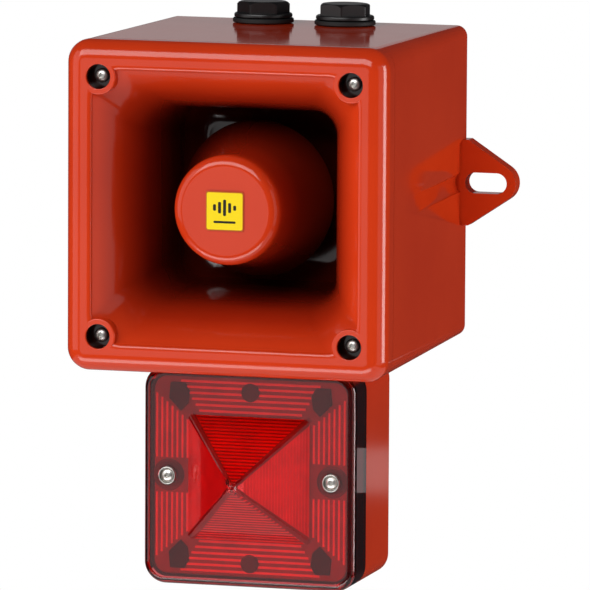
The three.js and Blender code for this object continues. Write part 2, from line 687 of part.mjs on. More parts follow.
const BASE_FRONT = LENS_BACK + GAP;
const BASE_WALL = 3.6;
const SLEEVE_RADIUS = 5.3;
const PEG_RADIUS = 3.6;
const CUP_RADIUS = 3.6;
const CUP_INNER = 3.05;
const LENS_SEAL_HALF = BEACON_HALF - 1.5;
const LENS_SEAL_CORNER = BEACON_CORNER - 1.5;
const LENS_SEAL_BACK = BASE_FRONT + 2.2;
const STROBE_FACE = 78;
const STROBE_BACK = STROBE_FACE + BOARD_THICK;
const strobePlaces = [[-20, -26], [20, -26], [-20, 22], [20, 22]];
const inBeacon = (body) => body.translate([0, 0, BEACON_Z]);

// A round piece at both lens screws.
function bothSides(radius, front, back, sides = SIDES) {
  return [-1, 1].map((side) => solid(rod(radius, front, back, side * LENS_SCREW_X, 0, sides)));
}

function pyramid(half, top, bottom) {
  const cone = new THREE.CylinderGeometry(0, half * Math.SQRT2, bottom - top, 4, 1);
  cone.rotateY(Math.PI / 4).rotateZ(Math.PI);
  return solid(cone.translate(0, deep((top + bottom) / 2), 0));
}

function lens() {
  const skin = [...roundedFront(LENS_FRONT, BEACON_HALF, BEACON_CORNER, LENS_EDGE, 3),
    [LENS_BACK, BEACON_HALF, BEACON_CORNER]];
  const rise = LENS_FRONT - APEX_DEPTH;
  const reach = 1;
  const outer = pyramid(PYRAMID_HALF * (rise + reach) / rise, APEX_DEPTH, LENS_FRONT + reach);
  const half = BEACON_HALF - LENS_WALL;
  const corner = BEACON_CORNER - LENS_WALL;
  const hollow = lofted([[LENS_FRONT + LENS_WALL, half, corner], [LENS_BACK + 1, half, corner]]);
  const inset = 3.4;
  const innerHalf = (PYRAMID_HALF - 1) * (rise + LENS_WALL + reach) / rise;
  const inner = pyramid(innerHalf, APEX_DEPTH + inset, LENS_FRONT + reach + inset);
  const pegs = [-1, 1].map((side) =>
    solid(rod(PEG_RADIUS, LENS_FRONT + 1, LENS_BACK - 3, 0, side * PEG_AT, 16)));
  const sleeves = bothSides(SLEEVE_RADIUS, LENS_FRONT + 1, LENS_BACK);
  const recess = bothSides(CUP_RADIUS + GAP, LENS_FRONT - 1, LENS_FRONT + 2.6);
  const holes = bothSides(SHANK_RADIUS + GAP, LENS_FRONT, LENS_BACK + 1, 14);
  const shell = cut(join(lofted(skin), outer), hollow, inner);
  return cut(join(shell, ...pegs, ...sleeves), ...recess, ...holes);
}

function beaconBase() {
  const half = BEACON_HALF - BASE_WALL;
  const skin = [[BASE_FRONT, BEACON_HALF, BEACON_CORNER], [BASE_BACK - 1.5, BEACON_HALF - 0.2, BEACON_CORNER],
    [BASE_BACK, BEACON_HALF - 1.5, BEACON_CORNER - 1.2]];
  const inside = [[BASE_FRONT - 1, half, 6], [BASE_BACK - 3, half - 0.3, 6]];
  const posts = bothSides(SLEEVE_RADIUS, BASE_FRONT, BASE_BACK - 1);
  const pilots = bothSides(SHANK_RADIUS + GAP, BASE_FRONT - 1, BASE_FRONT + 20, 14);
  const standoffs = strobePlaces.map(([x, z]) =>
    solid(rod(3, STROBE_BACK + GAP, BASE_BACK - 1, x, z, 12)));
  const entry = solid(uprightRing(0, NIPPLE_RADIUS + GAP, BEACON_HALF - 8, BEACON_HALF + 3));
  const groove = rimGroove(LENS_SEAL_HALF, LENS_SEAL_CORNER, BASE_FRONT, LENS_SEAL_BACK);
  const shell = cut(lofted(skin), lofted(inside));
  const placedEntry = entry.translate([0, deep(NIPPLE_DEPTH), 0]);
  return cut(join(shell, ...posts, ...standoffs), ...pilots, groove, placedEntry);
}

function strobeDish() {
  const face = [[9, 70], [15, 68], [21, 64.5], [26, 60]];
  const behind = [[26.8, 61], [21.6, 65.8], [15.4, 69.4], [9, 71.4]];
  return turned([...face, ...behind, face[0]]);
}

function xenonTube() {
  const depth = 62;
  const tube = new THREE.CylinderGeometry(2.6, 2.6, 30, 16).rotateZ(Math.PI / 2).translate(0, deep(depth), 0);
  const legs = [-1, 1].map((side) => solid(rod(1, depth, STROBE_FACE - GAP, side * 6.5, 0, 10)));
  return join(solid(tube), ...legs);
}

function addBeacon() {
  piece("beacon_base", inBeacon(beaconBase()), RED_SHELL);
  piece("beacon_lens", inBeacon(lens()), RED_LENS);
  const seal = rimSeal(LENS_SEAL_HALF, LENS_SEAL_CORNER, BASE_FRONT + GAP, LENS_SEAL_BACK);
  piece("lens_seal", inBeacon(seal), BLACK_RUBBER);
  [["left", -1], ["right", 1]].forEach(([name, side]) => {
    const x = side * LENS_SCREW_X;
    const screw = panScrew(2.7, SHANK_RADIUS, LENS_FRONT - 0.6, 1.9, BASE_FRONT + 17, x, 0);
    piece(`lens_screw_${name}`, inBeacon(screw), STEEL);
    const cup = solid(collar(SHANK_RADIUS + GAP, CUP_RADIUS, LENS_FRONT + 1.6, LENS_FRONT + 2.3, 14));
    const rim = solid(collar(CUP_INNER, CUP_RADIUS, LENS_FRONT - 0.4, LENS_FRONT + 1.7, 14));
    piece(`lens_cup_${name}`, inBeacon(join(cup, rim).translate([x, 0, 0])), STEEL);
  });
  addStrobe();
}

function addStrobe() {
  const board = solid(block(0, -2, 57, 58, STROBE_FACE, STROBE_BACK));
  const holes = strobePlaces.map(([x, z]) => solid(rod(1.4, STROBE_FACE - 1, STROBE_BACK + 1, x, z, 10)));
  piece("strobe_board", inBeacon(cut(board, ...holes)), BOARD);
  piece("strobe_dish", inBeacon(solid(strobeDish())), MIRROR);
  piece("flash_tube", inBeacon(xenonTube()), GLASS);
  const coil = solid(rod(4, STROBE_FACE - 9, STROBE_FACE - GAP, 24, 14));
  piece("trigger_coil", inBeacon(coil), COPPER);
  const radius = 4.6;
  const can = new THREE.CylinderGeometry(radius, radius, 22, 20).rotateZ(Math.PI / 2);
  const canDepth = STROBE_FACE - radius - 0.5;
  piece("flash_capacitor", inBeacon(solid(can.translate(0, deep(canDepth), -23.5))), CAN_BLUE);
}

function addNipple() {
  const at = (body) => body.translate([0, deep(NIPPLE_DEPTH), 0]);
  const boxBottom = -boxHalf(NIPPLE_DEPTH);
  const baseTop = BEACON_Z + BEACON_HALF;
  const inBoxNut = boxBottom + WALL + GAP + 0.2;
  const inBaseNut = baseTop - BASE_WALL - GAP;
  const clear = NIPPLE_RADIUS + GAP;
  const tube = uprightRing(NIPPLE_BORE, NIPPLE_RADIUS, inBaseNut - 4.6, inBoxNut + 4.6);
  piece("nipple", at(solid(tube)), BLACK_NYLON);
  const seal = uprightRing(clear, 14, baseTop + GAP, boxBottom - GAP - 0.28);
  piece("nipple_seal", at(solid(seal)), BLACK_RUBBER);
  const upper = uprightHexagon(NIPPLE_NUT_FLATS, inBoxNut, inBoxNut + 4, clear);
  const lower = uprightHexagon(NIPPLE_NUT_FLATS, inBaseNut - 4, inBaseNut, clear);
  piece("nipple_nut_upper", at(solid(upper)), BLACK_NYLON);
  piece("nipple_nut_lower", at(solid(lower)), BLACK_NYLON);
}

// ---- leads --------------------------------------------------------------------------------

// A lead through points given as [x, depth, z].
function lead(points, radius, steps) {
  const places = points.map(([x, depth, z]) => new THREE.Vector3(x, deep(depth), z));
  const path = new THREE.CatmullRomCurve3(places);
  const section = new THREE.Shape().absarc(0, 0, radius, 0, Math.PI * 2, false);
  const options = { extrudePath: path, steps, curveSegments: 4, bevelEnabled: false };
  return solid(new THREE.ExtrudeGeometry(section, options));
}

function addLeads() {
  const [x, z] = PLUG_AT;
  piece("driver_header", block(x, z, 8, 6, BOARD_FACE - 4, BOARD_FACE - GAP), WHITE_PLASTIC);
  piece("driver_plug", block(x, z, 7, 5, BOARD_FACE - 10, BOARD_FACE - 4 - GAP), WHITE_PLASTIC);
  const plugFront = BOARD_FACE - 10 - GAP;
  const start = YOKE_BACK + 2 * GAP;
  const toDriver = [[x, start, -10], [x, start + 2.4, -10.2], [x, start + 3, -15], [x, plugFront - 3, -21.6],
    [x, plugFront - GAP, z]];
  piece("driver_lead", lead(toDriver, 1.2, 20), BLACK_NYLON);
  const down = [[-8, BOARD_FACE - 2 * GAP, -26], [-8, BOARD_FACE - 4, -26.2], [-8, BOARD_FACE - 9, -30],
    [-6, 104, -43], [-2, 86, -48], [0, 75.6, -52], [0, NIPPLE_DEPTH, -59], [0, NIPPLE_DEPTH, -75],
    [0, 74.6, -79.5], [0, 80, -82], [0, 84, -86.5], [0, 84.6, -93], [0, STROBE_BACK + 3, -99.4],
    [0, STROBE_BACK + 2 * GAP, -100]];
  piece("strobe_lead", lead(down, 1.8, 40), BLACK_NYLON);
}

// ---- the object ---------------------------------------------------------------------------

piece("rear_housing", rearHousing(), RED_SHELL);
piece("front_cover", frontCover(), RED_SHELL);
const coverSeal = rimSeal(COVER_SEAL_HALF, COVER_SEAL_CORNER, HOUSING_FRONT + GAP, COVER_SEAL_BACK);
piece("cover_seal", coverSeal, BLACK_RUBBER);
const HEAD_HEIGHT = RECESS_DEPTH - GAP - HEAD_TOP;
const SCREW_TIP = 34;
corners.forEach(([name, x, z]) => {
  const [across, up] = [x * SCREW_AT, z * SCREW_AT];
  const body = panScrew(HEAD_RADIUS, SHANK_RADIUS, HEAD_TOP, HEAD_HEIGHT, SCREW_TIP, across, up);
  piece(`cover_screw_${name}`, body, STEEL);
});
piece("horn_reflector", reflector(), RED_SHELL);
piece("label_plate", label(), YELLOW_FILM);
addDriver();
addMainBoard();
addEntries();
addBeacon();
addNipple();
addLeads();

export default group;
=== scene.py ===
import json
import math

import bpy
from mathutils import Matrix, Vector


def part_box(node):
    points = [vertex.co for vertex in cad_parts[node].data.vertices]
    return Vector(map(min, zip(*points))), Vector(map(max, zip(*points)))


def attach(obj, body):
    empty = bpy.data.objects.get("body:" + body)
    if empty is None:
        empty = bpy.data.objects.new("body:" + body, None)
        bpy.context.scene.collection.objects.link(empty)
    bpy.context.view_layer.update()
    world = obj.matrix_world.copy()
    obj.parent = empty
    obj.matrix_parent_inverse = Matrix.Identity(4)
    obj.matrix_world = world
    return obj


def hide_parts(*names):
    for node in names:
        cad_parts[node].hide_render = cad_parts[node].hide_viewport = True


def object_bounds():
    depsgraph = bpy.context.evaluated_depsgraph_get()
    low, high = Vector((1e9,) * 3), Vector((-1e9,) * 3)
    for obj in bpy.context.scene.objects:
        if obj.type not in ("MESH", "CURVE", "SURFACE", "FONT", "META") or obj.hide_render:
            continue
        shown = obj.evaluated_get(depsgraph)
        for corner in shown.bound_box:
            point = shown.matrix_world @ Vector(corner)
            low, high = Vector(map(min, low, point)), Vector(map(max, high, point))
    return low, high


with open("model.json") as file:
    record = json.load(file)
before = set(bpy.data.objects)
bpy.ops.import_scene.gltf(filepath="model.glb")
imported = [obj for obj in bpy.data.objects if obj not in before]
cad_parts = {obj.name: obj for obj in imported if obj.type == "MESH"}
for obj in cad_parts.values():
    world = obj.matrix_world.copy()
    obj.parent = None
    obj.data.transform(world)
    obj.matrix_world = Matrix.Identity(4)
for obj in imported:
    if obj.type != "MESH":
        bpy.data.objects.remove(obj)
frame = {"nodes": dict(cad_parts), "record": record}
CAD_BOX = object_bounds()
MM = 0.001

# ---- the frame's own places and sizes ------------------------------------------------------

COVER_LOW, COVER_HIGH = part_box("front_cover")
LENS_LOW, LENS_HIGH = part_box("beacon_lens")
BASE_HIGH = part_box("beacon_base")[1]
HOUSING_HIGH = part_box("rear_housing")[1]
FACE_Y = COVER_LOW.y
FACE_HALF = COVER_HIGH.x
DEPTH = -FACE_Y
BACK_HALF = 64.4 * MM
SPLIT = 14.3 * MM
GAP = 0.3 * MM
EDGE_ROUND = 7.5 * MM
FACE_CORNER = 9.3 * MM
BACK_CORNER = 4.5 * MM
LIP_HALF = 57.3 * MM
THROAT_HALF = 36 * MM
FLARE_LENGTH = 15 * MM
FLARE_BOTTOM = 72 * MM
BOWL_ROUND = 9 * MM
SCREW_AT = 52.45 * MM
RECESS_DEPTH = 6 * MM
RECESS_RADIUS = 5 * MM
SCREW_CLEAR = 1.8 * MM
NIPPLE_AT = 73.3 * MM
NIPPLE_CLEAR = 8.1 * MM
BEACON_Z = (LENS_LOW.z + LENS_HIGH.z) / 2
BEACON_HALF = LENS_HIGH.x
BEACON_CORNER = 9 * MM
LENS_FRONT = 37.7 * MM
LENS_BACK = LENS_HIGH.y - FACE_Y
CORNERS = {"top_left": (-1, 1), "top_right": (1, 1), "bottom_left": (-1, -1), "bottom_right": (1, -1)}


def box_half(depth):
    return FACE_HALF + (BACK_HALF - FACE_HALF) * depth / DEPTH


def box_corner(depth):
    return FACE_CORNER + (BACK_CORNER - FACE_CORNER) * depth / DEPTH


DRAFT = math.atan((FACE_HALF - BACK_HALF) / DEPTH)

# ---- camera --------------------------------------------------------------------------------

AZIMUTH, ELEVATION, ROLL = (math.radians(v) for v in (16.08, 7.47, -0.32))
DISTANCE = 3.192
ASIDE = Vector((-0.02886, 0.03299))
FOCAL_PIXELS = 8000
FRAME_PIXELS = 590


def add_camera():
    ca, sa = math.cos(AZIMUTH), math.sin(AZIMUTH)
    ce, se = math.cos(ELEVATION), math.sin(ELEVATION)
    right = Vector((ca, sa, 0))
    up = Vector((-sa * se, ca * se, ce))
    ahead = Vector((-sa * ce, ca * ce, -se))
    eye = Vector((0, FACE_Y, 0)) - right * ASIDE.x - up * ASIDE.y - ahead * DISTANCE
    across = right * math.cos(ROLL) - up * math.sin(ROLL)
    upward = right * math.sin(ROLL) + up * math.cos(ROLL)
    data = bpy.data.cameras.new("camera")
    data.sensor_width = 36
    data.lens = FOCAL_PIXELS / FRAME_PIXELS * data.sensor_width
    data.clip_start, data.clip_end = 0.1, 20
    camera = bpy.data.objects.new("camera", data)
    bpy.context.scene.collection.objects.link(camera)
    turn = Matrix((across, upward, -ahead)).transposed().to_4x4()
    camera.matrix_world = Matrix.Translation(eye) @ turn
    bpy.context.scene.camera = camera


# ---- mesh helpers --------------------------------------------------------------------------


def make(name, points, faces):
    mesh = bpy.data.meshes.new(name)
    mesh.from_pydata([tuple(p) for p in points], [], faces)
    mesh.validate()
    thing = bpy.data.objects.new(name, mesh)
    bpy.context.scene.collection.objects.link(thing)
    return thing


def ringed(name, rings):
    """A closed solid through rings of equal length; the first and last are capped."""
    count = len(rings[0])
    points = [p for ring in rings for p in ring]
    faces = []
    for r in range(len(rings) - 1):
        for i in range(count):
            a, b = r * count + i, r * count + (i + 1) % count
            faces.append((a, b, b + count, a + count))
    faces.append(tuple(reversed(range(count))))
    last = (len(rings) - 1) * count
    faces.append(tuple(range(last, last + count)))
    return make(name, points, faces)


def rounded_square(half, radius, segments):
    ring = []
    for turn, (sx, sz) in enumerate(((1, 1), (-1, 1), (-1, -1), (1, -1))):
        for i in range(segments + 1):
            angle = math.pi / 2 * (turn + i / segments)
            ring.append((sx * (half - radius) + radius * math.cos(angle),
                         sz * (half - radius) + radius * math.sin(angle)))
    return ring


def lofted(name, stations, segments=10, centre_z=0.0):
    """A rounded square along the depth: stations are (depth, half, corner radius)."""
    rings = []
    for depth, half, radius in stations:
        ring = rounded_square(half, max(radius, 0.05 * MM), segments)
        rings.append([(x, FACE_Y + depth, z + centre_z) for x, z in reversed(ring)])
    return ringed(name, rings)


def turned(name, profile, sides=48, x=0.0, z=0.0):
    """A lathe on a Y axis: the profile is (radius, depth) from front to back."""
    rings = []
    for radius, depth in profile:
        r = max(radius, 0.002 * MM)
        turns = (-2 * math.pi * i / sides for i in range(sides))
        rings.append([(x + r * math.cos(t), FACE_Y + depth, z + r * math.sin(t)) for t in turns])
    return ringed(name, rings)


def pin(radius, front, back, x, z, sides=24):
    """A round pin between two depths: a post, or the tool for a hole."""
    return turned("pin", [(radius, front), (radius, back)], sides, x, z)


def upright(name, profile, sides=64):
    """A lathe on a Z axis: the profile is (radius, height) from low to high."""
    rings = []
    for radius, height in profile:
        r = max(radius, 0.002 * MM)
        turns = (2 * math.pi * i / sides for i in range(sides))
        rings.append([(r * math.cos(t), r * math.sin(t), height) for t in turns])
    return ringed(name, rings)


def block(name, x, z, wide, high, front, back):
    rings = []
    for depth in (front, back):
        rings.append([(x + sx * wide / 2, FACE_Y + depth, z + sz * high / 2)
                      for sx, sz in ((1, 1), (1, -1), (-1, -1), (-1, 1))])
    return ringed(name, rings)


def outlined(name, outline, front, back):
    """An outline of (x, z) points, counterclockwise, run between two depths."""
    rings = [[(x, FACE_Y + depth, z) for x, z in reversed(outline)] for depth in (front, back)]
    return ringed(name, rings)


def quarter(steps):
    """The angles of a quarter turn, in radians."""
    return [math.pi / 2 * i / steps for i in range(steps + 1)]


def arc(cx, cz, radius, start, end, segments=16):
    """Points on an arc between two angles in degrees."""
    turns = [math.radians(start + (end - start) * i / segments) for i in range(segments + 1)]
    return [(cx + radius * math.cos(t), cz + radius * math.sin(t)) for t in turns]


def baked(thing):
    """Applies the object's modifiers to its mesh."""
    graph = bpy.context.evaluated_depsgraph_get()
    mesh = bpy.data.meshes.new_from_object(thing.evaluated_get(graph))
    old = thing.data
    thing.modifiers.clear()
    thing.data = mesh
    bpy.data.meshes.remove(old)
    return thing


def duplicate(thing):
    copy = thing.copy()
    copy.data = thing.data.copy()
    bpy.context.scene.collection.objects.link(copy)
    return copy


def mirrored(thing):
    thing.data.transform(Matrix.Scale(-1, 4, (1, 0, 0)))
    thing.data.flip_normals()
    return thing


def combined(thing, others, operation):
    """Joins, cuts or intersects the piece with others, which are used up."""
    for other in others:
        modifier = thing.modifiers.new("combine", "BOOLEAN")
        modifier.operation = operation
        modifier.solver = "MANIFOLD"
        modifier.object = other
        baked(thing)
        bpy.data.objects.remove(other)
    return thing


def joined(thing, *others):
    return combined(thing, others, "UNION")


def cut(thing, *others):
    return combined(thing, others, "DIFFERENCE")


def bevelled(thing, width, segments=3, angle=40):
    modifier = thing.modifiers.new("bevel", "BEVEL")
    modifier.width = width
    modifier.segments = segments
    modifier.limit_method = "ANGLE"
    modifier.angle_limit = math.radians(angle)
    return baked(thing)


def smoothed(thing, angle=32):
    thing.data.shade_smooth()
    thing.data.set_sharp_from_angle(angle=math.radians(angle))
    modifier = thing.modifiers.new("weighted", "WEIGHTED_NORMAL")
    modifier.keep_sharp = True
    return thing


def rounded_rim(front, half, corner, round_radius, steps=8):
    """Stations for a front edge rounded by a quarter circle."""
    stations = []
    for i in range(steps + 1):
        turn = i / steps * math.pi / 2
        inset = round_radius * (1 - math.sin(turn))
        stations.append((front + round_radius * (1 - math.cos(turn)), half - inset, corner - inset))
    return stations


# ---- materials -----------------------------------------------------------------------------


class Finish:
    """A node material around one Principled shader."""

    def __init__(self, name, **inputs):
        self.material = bpy.data.materials.new(name)
        self.material.use_nodes = True
        self.nodes = self.material.node_tree.nodes
        self.links = self.material.node_tree.links
        self.shader = self.nodes["Principled BSDF"]
        for key, value in inputs.items():
            self.shader.inputs[key.replace("_", " ")].default_value = value
        self.place = self.nodes.new("ShaderNodeTexCoord").outputs["Object"]

    def noise(self, scale, detail=3.0, stretch=(1, 1, 1)):
        mapping = self.nodes.new("ShaderNodeMapping")
        mapping.inputs["Scale"].default_value = stretch
        self.links.new(self.place, mapping.inputs["Vector"])
        node = self.nodes.new("ShaderNodeTexNoise")
        node.inputs["Scale"].default_value = scale
        node.inputs["Detail"].default_value = detail
        self.links.new(mapping.outputs["Vector"], node.inputs["Vector"])
        return node.outputs["Fac"]

    def ramp(self, source, *stops):
        node = self.nodes.new("ShaderNodeValToRGB")
        ramp = node.color_ramp
        while len(ramp.elements) < len(stops):
            ramp.elements.new(0.5)
        for element, (position, colour) in zip(ramp.elements, stops):
            element.position = position
            element.color = colour
        self.links.new(source, node.inputs["Fac"])
        return node.outputs["Color"]

    def axes(self):
        node = self.nodes.new("ShaderNodeSeparateXYZ")
        self.links.new(self.place, node.inputs["Vector"])
        return node.outputs

    def maths(self, operation, *values):
        node = self.nodes.new("ShaderNodeMath")
        node.operation = operation
        for socket, value in zip(node.inputs, values):
            if isinstance(value, float):
                socket.default_value = value
            else:
                self.links.new(value, socket)
        return node.outputs["Value"]

    def times(self, one, other):
        node = self.nodes.new("ShaderNodeMix")
        node.data_type = "RGBA"
        node.blend_type = "MULTIPLY"
        node.inputs["Factor"].default_value = 1
        self.links.new(one, node.inputs[6])
        self.links.new(other, node.inputs[7])
        return node.outputs[2]

    def spread(self, source, low, high, start=0.0, end=1.0):
        node = self.nodes.new("ShaderNodeMapRange")
        node.inputs["From Min"].default_value = start
        node.inputs["From Max"].default_value = end
        node.inputs["To Min"].default_value = low
        node.inputs["To Max"].default_value = high
        self.links.new(source, node.inputs["Value"])
        return node.outputs["Result"]

    def bump(self, source, strength, distance):
        node = self.nodes.new("ShaderNodeBump")
        node.inputs["Strength"].default_value = strength
        node.inputs["Distance"].default_value = distance
        self.links.new(source, node.inputs["Height"])
        self.links.new(node.outputs["Normal"], self.shader.inputs["Normal"])

    def drive(self, socket, source):
        self.links.new(source, self.shader.inputs[socket])
        return self


def rgb(red, green, blue):
    """A linear colour from an sRGB one."""
    def linear(v):
        v /= 255
        return v / 12.92 if v <= 0.04045 else ((v + 0.055) / 1.055) ** 2.4
    return (linear(red), linear(green), linear(blue), 1)


def moulded(name, colour, darker, roughness, spread=0.05, grain=0.1, **inputs):
    """Moulded plastic: slow colour drift, uneven gloss and a fine orange peel."""
    finish = Finish(name, **inputs)
    finish.drive("Base Color", finish.ramp(finish.noise(18, 4), (0.35, darker), (0.65, colour)))
    finish.drive("Roughness", finish.spread(finish.noise(60, 5), roughness - spread, roughness + spread))
    finish.bump(finish.noise(900, 2), grain, 0.00006)
    return finish.material


def shell_red():
    return moulded("shell_red", rgb(214, 60, 22), rgb(207, 55, 19), 0.09, 0.03, 0.04)


def horn_red_painted_shade():
    """The shell's red, duller, with painted shade: darker deep in the horn and on the walls of the screw
    recesses.
    """
    finish = Finish("horn_red_painted_shade")
    colours = finish.ramp(finish.noise(18, 4), (0.35, rgb(207, 55, 19)), (0.65, rgb(214, 60, 22)))
    x, depth, z = finish.axes()
    across, up = finish.maths("ABSOLUTE", x), finish.maths("ABSOLUTE", z)
    inside = finish.maths("LESS_THAN", finish.maths("MAXIMUM", across, up), LIP_HALF)
    # Painted shade: inside the flare the colour darkens with depth, from 3 mm to 52 mm behind the face.
    sunk = finish.spread(depth, 0, 1, FACE_Y + 3 * MM, FACE_Y + 52 * MM)
    throat_painted_shade = finish.ramp(finish.maths("MULTIPLY", inside, sunk),
                         (0, (1, 1, 1, 1)), (0.2, (0.62, 0.52, 0.6, 1)), (0.5, (0.32, 0.26, 0.34, 1)),
                         (1, (0.12, 0.11, 0.17, 1)))
    # Painted shade: within the screw recesses the walls darken below the face.
    off_x = finish.maths("SUBTRACT", across, SCREW_AT)
    off_z = finish.maths("SUBTRACT", up, SCREW_AT)
    out = finish.maths("SQRT", finish.maths("ADD", finish.maths("MULTIPLY", off_x, off_x),
                                            finish.maths("MULTIPLY", off_z, off_z)))
    recess_shade_mask = finish.maths("LESS_THAN", out, RECESS_RADIUS + 0.3 * MM)
    recess_shade_depth = finish.spread(depth, 0, 1, FACE_Y + 0.2 * MM, FACE_Y + 3 * MM)
    recess = finish.ramp(finish.maths("MULTIPLY", recess_shade_mask, recess_shade_depth),
                         (0, (1, 1, 1, 1)), (0.5, (0.12, 0.08, 0.12, 1)), (1, (0.03, 0.03, 0.05, 1)))
    finish.drive("Base Color", finish.times(finish.times(colours, throat_painted_shade), recess))
    finish.drive("Roughness", finish.spread(finish.noise(60, 5), 0.1, 0.16))
    finish.bump(finish.noise(900, 2), 0.05, 0.00006)
    return finish.material


def metal(name, colour, darker, roughness, scale=300):
    finish = Finish(name, Metallic=1.0)
    finish.drive("Base Color", finish.ramp(finish.noise(scale, 4), (0.3, darker), (0.7, colour)))
    finish.drive("Roughness", finish.spread(finish.noise(scale * 2, 5), roughness - 0.08, roughness + 0.1))
    finish.bump(finish.noise(scale * 5, 3), 0.12, 0.00003)
    return finish.material


def lens_red():
    """Clear red plastic."""
    finish = Finish("lens_red", Transmission_Weight=1.0, IOR=1.49, Specular_IOR_Level=0.24)
    colours = finish.ramp(finish.noise(20, 2), (0.4, rgb(250, 96, 100)), (0.6, rgb(253, 108, 111)))
    finish.drive("Base Color", colours)
    finish.drive("Roughness", finish.spread(finish.noise(90, 3), 0.005, 0.02))
    return finish.material


def painted_glow(name, colour, darker, painted_glow_strength):
    """Red plastic behind the lens, with painted light: its colour also glows, so it is a little brighter than
    its colour.
    """
    finish = Finish(name, Roughness=0.35)
    colours = finish.ramp(finish.noise(120, 3), (0.3, darker), (0.7, colour))
    finish.drive("Base Color", colours).drive("Emission Color", colours)
    # Painted light: the colour also glows at this strength, though nothing here is a lamp.
    finish.shader.inputs["Emission Strength"].default_value = painted_glow_strength
    finish.bump(finish.noise(700, 2), 0.15, 0.00005)
    return finish.material


# Finishes for the pieces behind the lens; each glows with painted light at the strength given last.
PRISM = painted_glow("lens_prism", rgb(226, 12, 18), rgb(204, 9, 14), 0.3)
PANEL = painted_glow("lens_panel", rgb(164, 12, 24), rgb(140, 8, 19), 0.1)
RIDGE = painted_glow("lens_ridge", rgb(240, 56, 62), rgb(222, 40, 48), 0.34)
RIBS = painted_glow("lens_rib", rgb(150, 8, 12), rgb(124, 5, 9), 0.2)
BOSSES = painted_glow("lens_boss", rgb(88, 9, 16), rgb(66, 6, 12), 0.08)
DEEP = painted_glow("lens_deep", rgb(40, 7, 12), rgb(28, 5, 9), 0.04)
# A near-black finish for the liner, which is painted shade.
RIM_PAINTED_SHADE = painted_glow("lens_rim_painted_shade", rgb(16, 3, 6), rgb(10, 2, 4), 0.0)
SHELL = shell_red()
HORN_PAINTED_SHADE = horn_red_painted_shade()
LENS = lens_red()
NYLON = moulded("nylon_black", rgb(34, 31, 32), rgb(22, 20, 21), 0.36, 0.06, 0.35)
RUBBER = moulded("rubber_black", rgb(24, 23, 23), rgb(17, 16, 16), 0.62, 0.08, 0.5)
STEEL = metal("steel", rgb(236, 233, 228), rgb(204, 200, 194), 0.34)
IRON = metal("iron_dark", rgb(104, 106, 110), rgb(72, 73, 76), 0.42)
COPPER = metal("copper", rgb(186, 106, 58), rgb(140, 74, 40), 0.35)
MIRROR = metal("mirror", rgb(232, 233, 235), rgb(215, 216, 219), 0.12)
FERRITE = moulded("ferrite", rgb(56, 56, 60), rgb(38, 38, 41), 0.6, 0.1, 0.8)
BOARD = moulded("board_green", rgb(32, 104, 58), rgb(20, 76, 40), 0.38, 0.08, 0.5)
TERMINAL = moulded("terminal_green", rgb(50, 140, 78), rgb(40, 120, 66), 0.42)
WHITE = moulded("plastic_white", rgb(232, 230, 224), rgb(218, 215, 208), 0.42)
BLUE = moulded("switch_blue", rgb(48, 92, 170), rgb(38, 76, 148), 0.42)
CAN = moulded("can_blue", rgb(30, 44, 92), rgb(22, 34, 76), 0.35)
FILM = moulded("film_amber", rgb(196, 152, 78), rgb(178, 132, 62), 0.4)
YELLOW = moulded("label_yellow", rgb(255, 226, 0), rgb(252, 218, 0), 0.35, 0.03, 0.1)
ORANGE = moulded("label_edge", rgb(196, 96, 10), rgb(186, 88, 10), 0.35, 0.03, 0.1)
INK = moulded("label_ink", rgb(22, 20, 14), rgb(16, 14, 10), 0.4, 0.03, 0.1)
TUBE = Finish("tube_glass", Transmission_Weight=1.0, IOR=1.47, Roughness=0.02).material

SLOT_LOOKS = {
    "shell_red": SHELL, "lens_red": LENS, "nylon_black": NYLON, "rubber_black": RUBBER, "steel": STEEL,
    "iron_dark": IRON, "ferrite": FERRITE, "board_green": BOARD, "terminal_green": TERMINAL,
    "plastic_white": WHITE, "switch_blue": BLUE, "copper": COPPER, "film_amber": FILM,
    "label_yellow": YELLOW, "mirror": MIRROR, "tube_glass": TUBE, "can_blue": CAN,
}


def dress_cad():
    """Every CAD node takes the finish of its record slot."""
    for part in frame["record"]["subparts"]:
        node = frame["nodes"][part["node"]]
        node.data.materials.clear()
        node.data.materials.append(SLOT_LOOKS[part["material_slot"]])


BODY_OF = {node: body for body, nodes in frame["record"]["behaviour"]["bodies"].items() for node in nodes}
SLOT_OF = {part["node"]: part["material_slot"] for part in frame["record"]["subparts"]}


def stand_for(thing, node, finish=None):
    """The piece takes over from a CAD node: its body, its slot and its finish."""
    thing.data.materials.clear()
    thing.data.materials.append(finish or SLOT_LOOKS[SLOT_OF[node]])
    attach(thing, BODY_OF[node])
    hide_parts(node)


# ---- front cover ---------------------------------------------------------------------------


def flare_half(depth):
    return THROAT_HALF + (LIP_HALF - THROAT_HALF) * math.exp(-depth / FLARE_LENGTH)


def flare_corner(depth):
    return (12.5 - 2.5 * min(1, depth / (40 * MM))) * MM


def flare_stations(outward, steps):
    floor = FLARE_BOTTOM - BOWL_ROUND
    stations = []
    for i in range(steps + 1):
        depth = 1.5 * MM + (floor - 1.5 * MM) * (i / steps) ** 1.7
        stations.append((depth, flare_half(depth) + outward, flare_corner(depth) + outward))
    wide = flare_half(floor) + outward
    rounding = BOWL_ROUND + outward
    for i in range(1, 9):
        turn = i / 8 * math.pi / 2
        inset = rounding * (1 - math.cos(turn))
        stations.append((floor + rounding * math.sin(turn), wide - inset, 10 * MM + outward - inset * 0.5))
    return stations


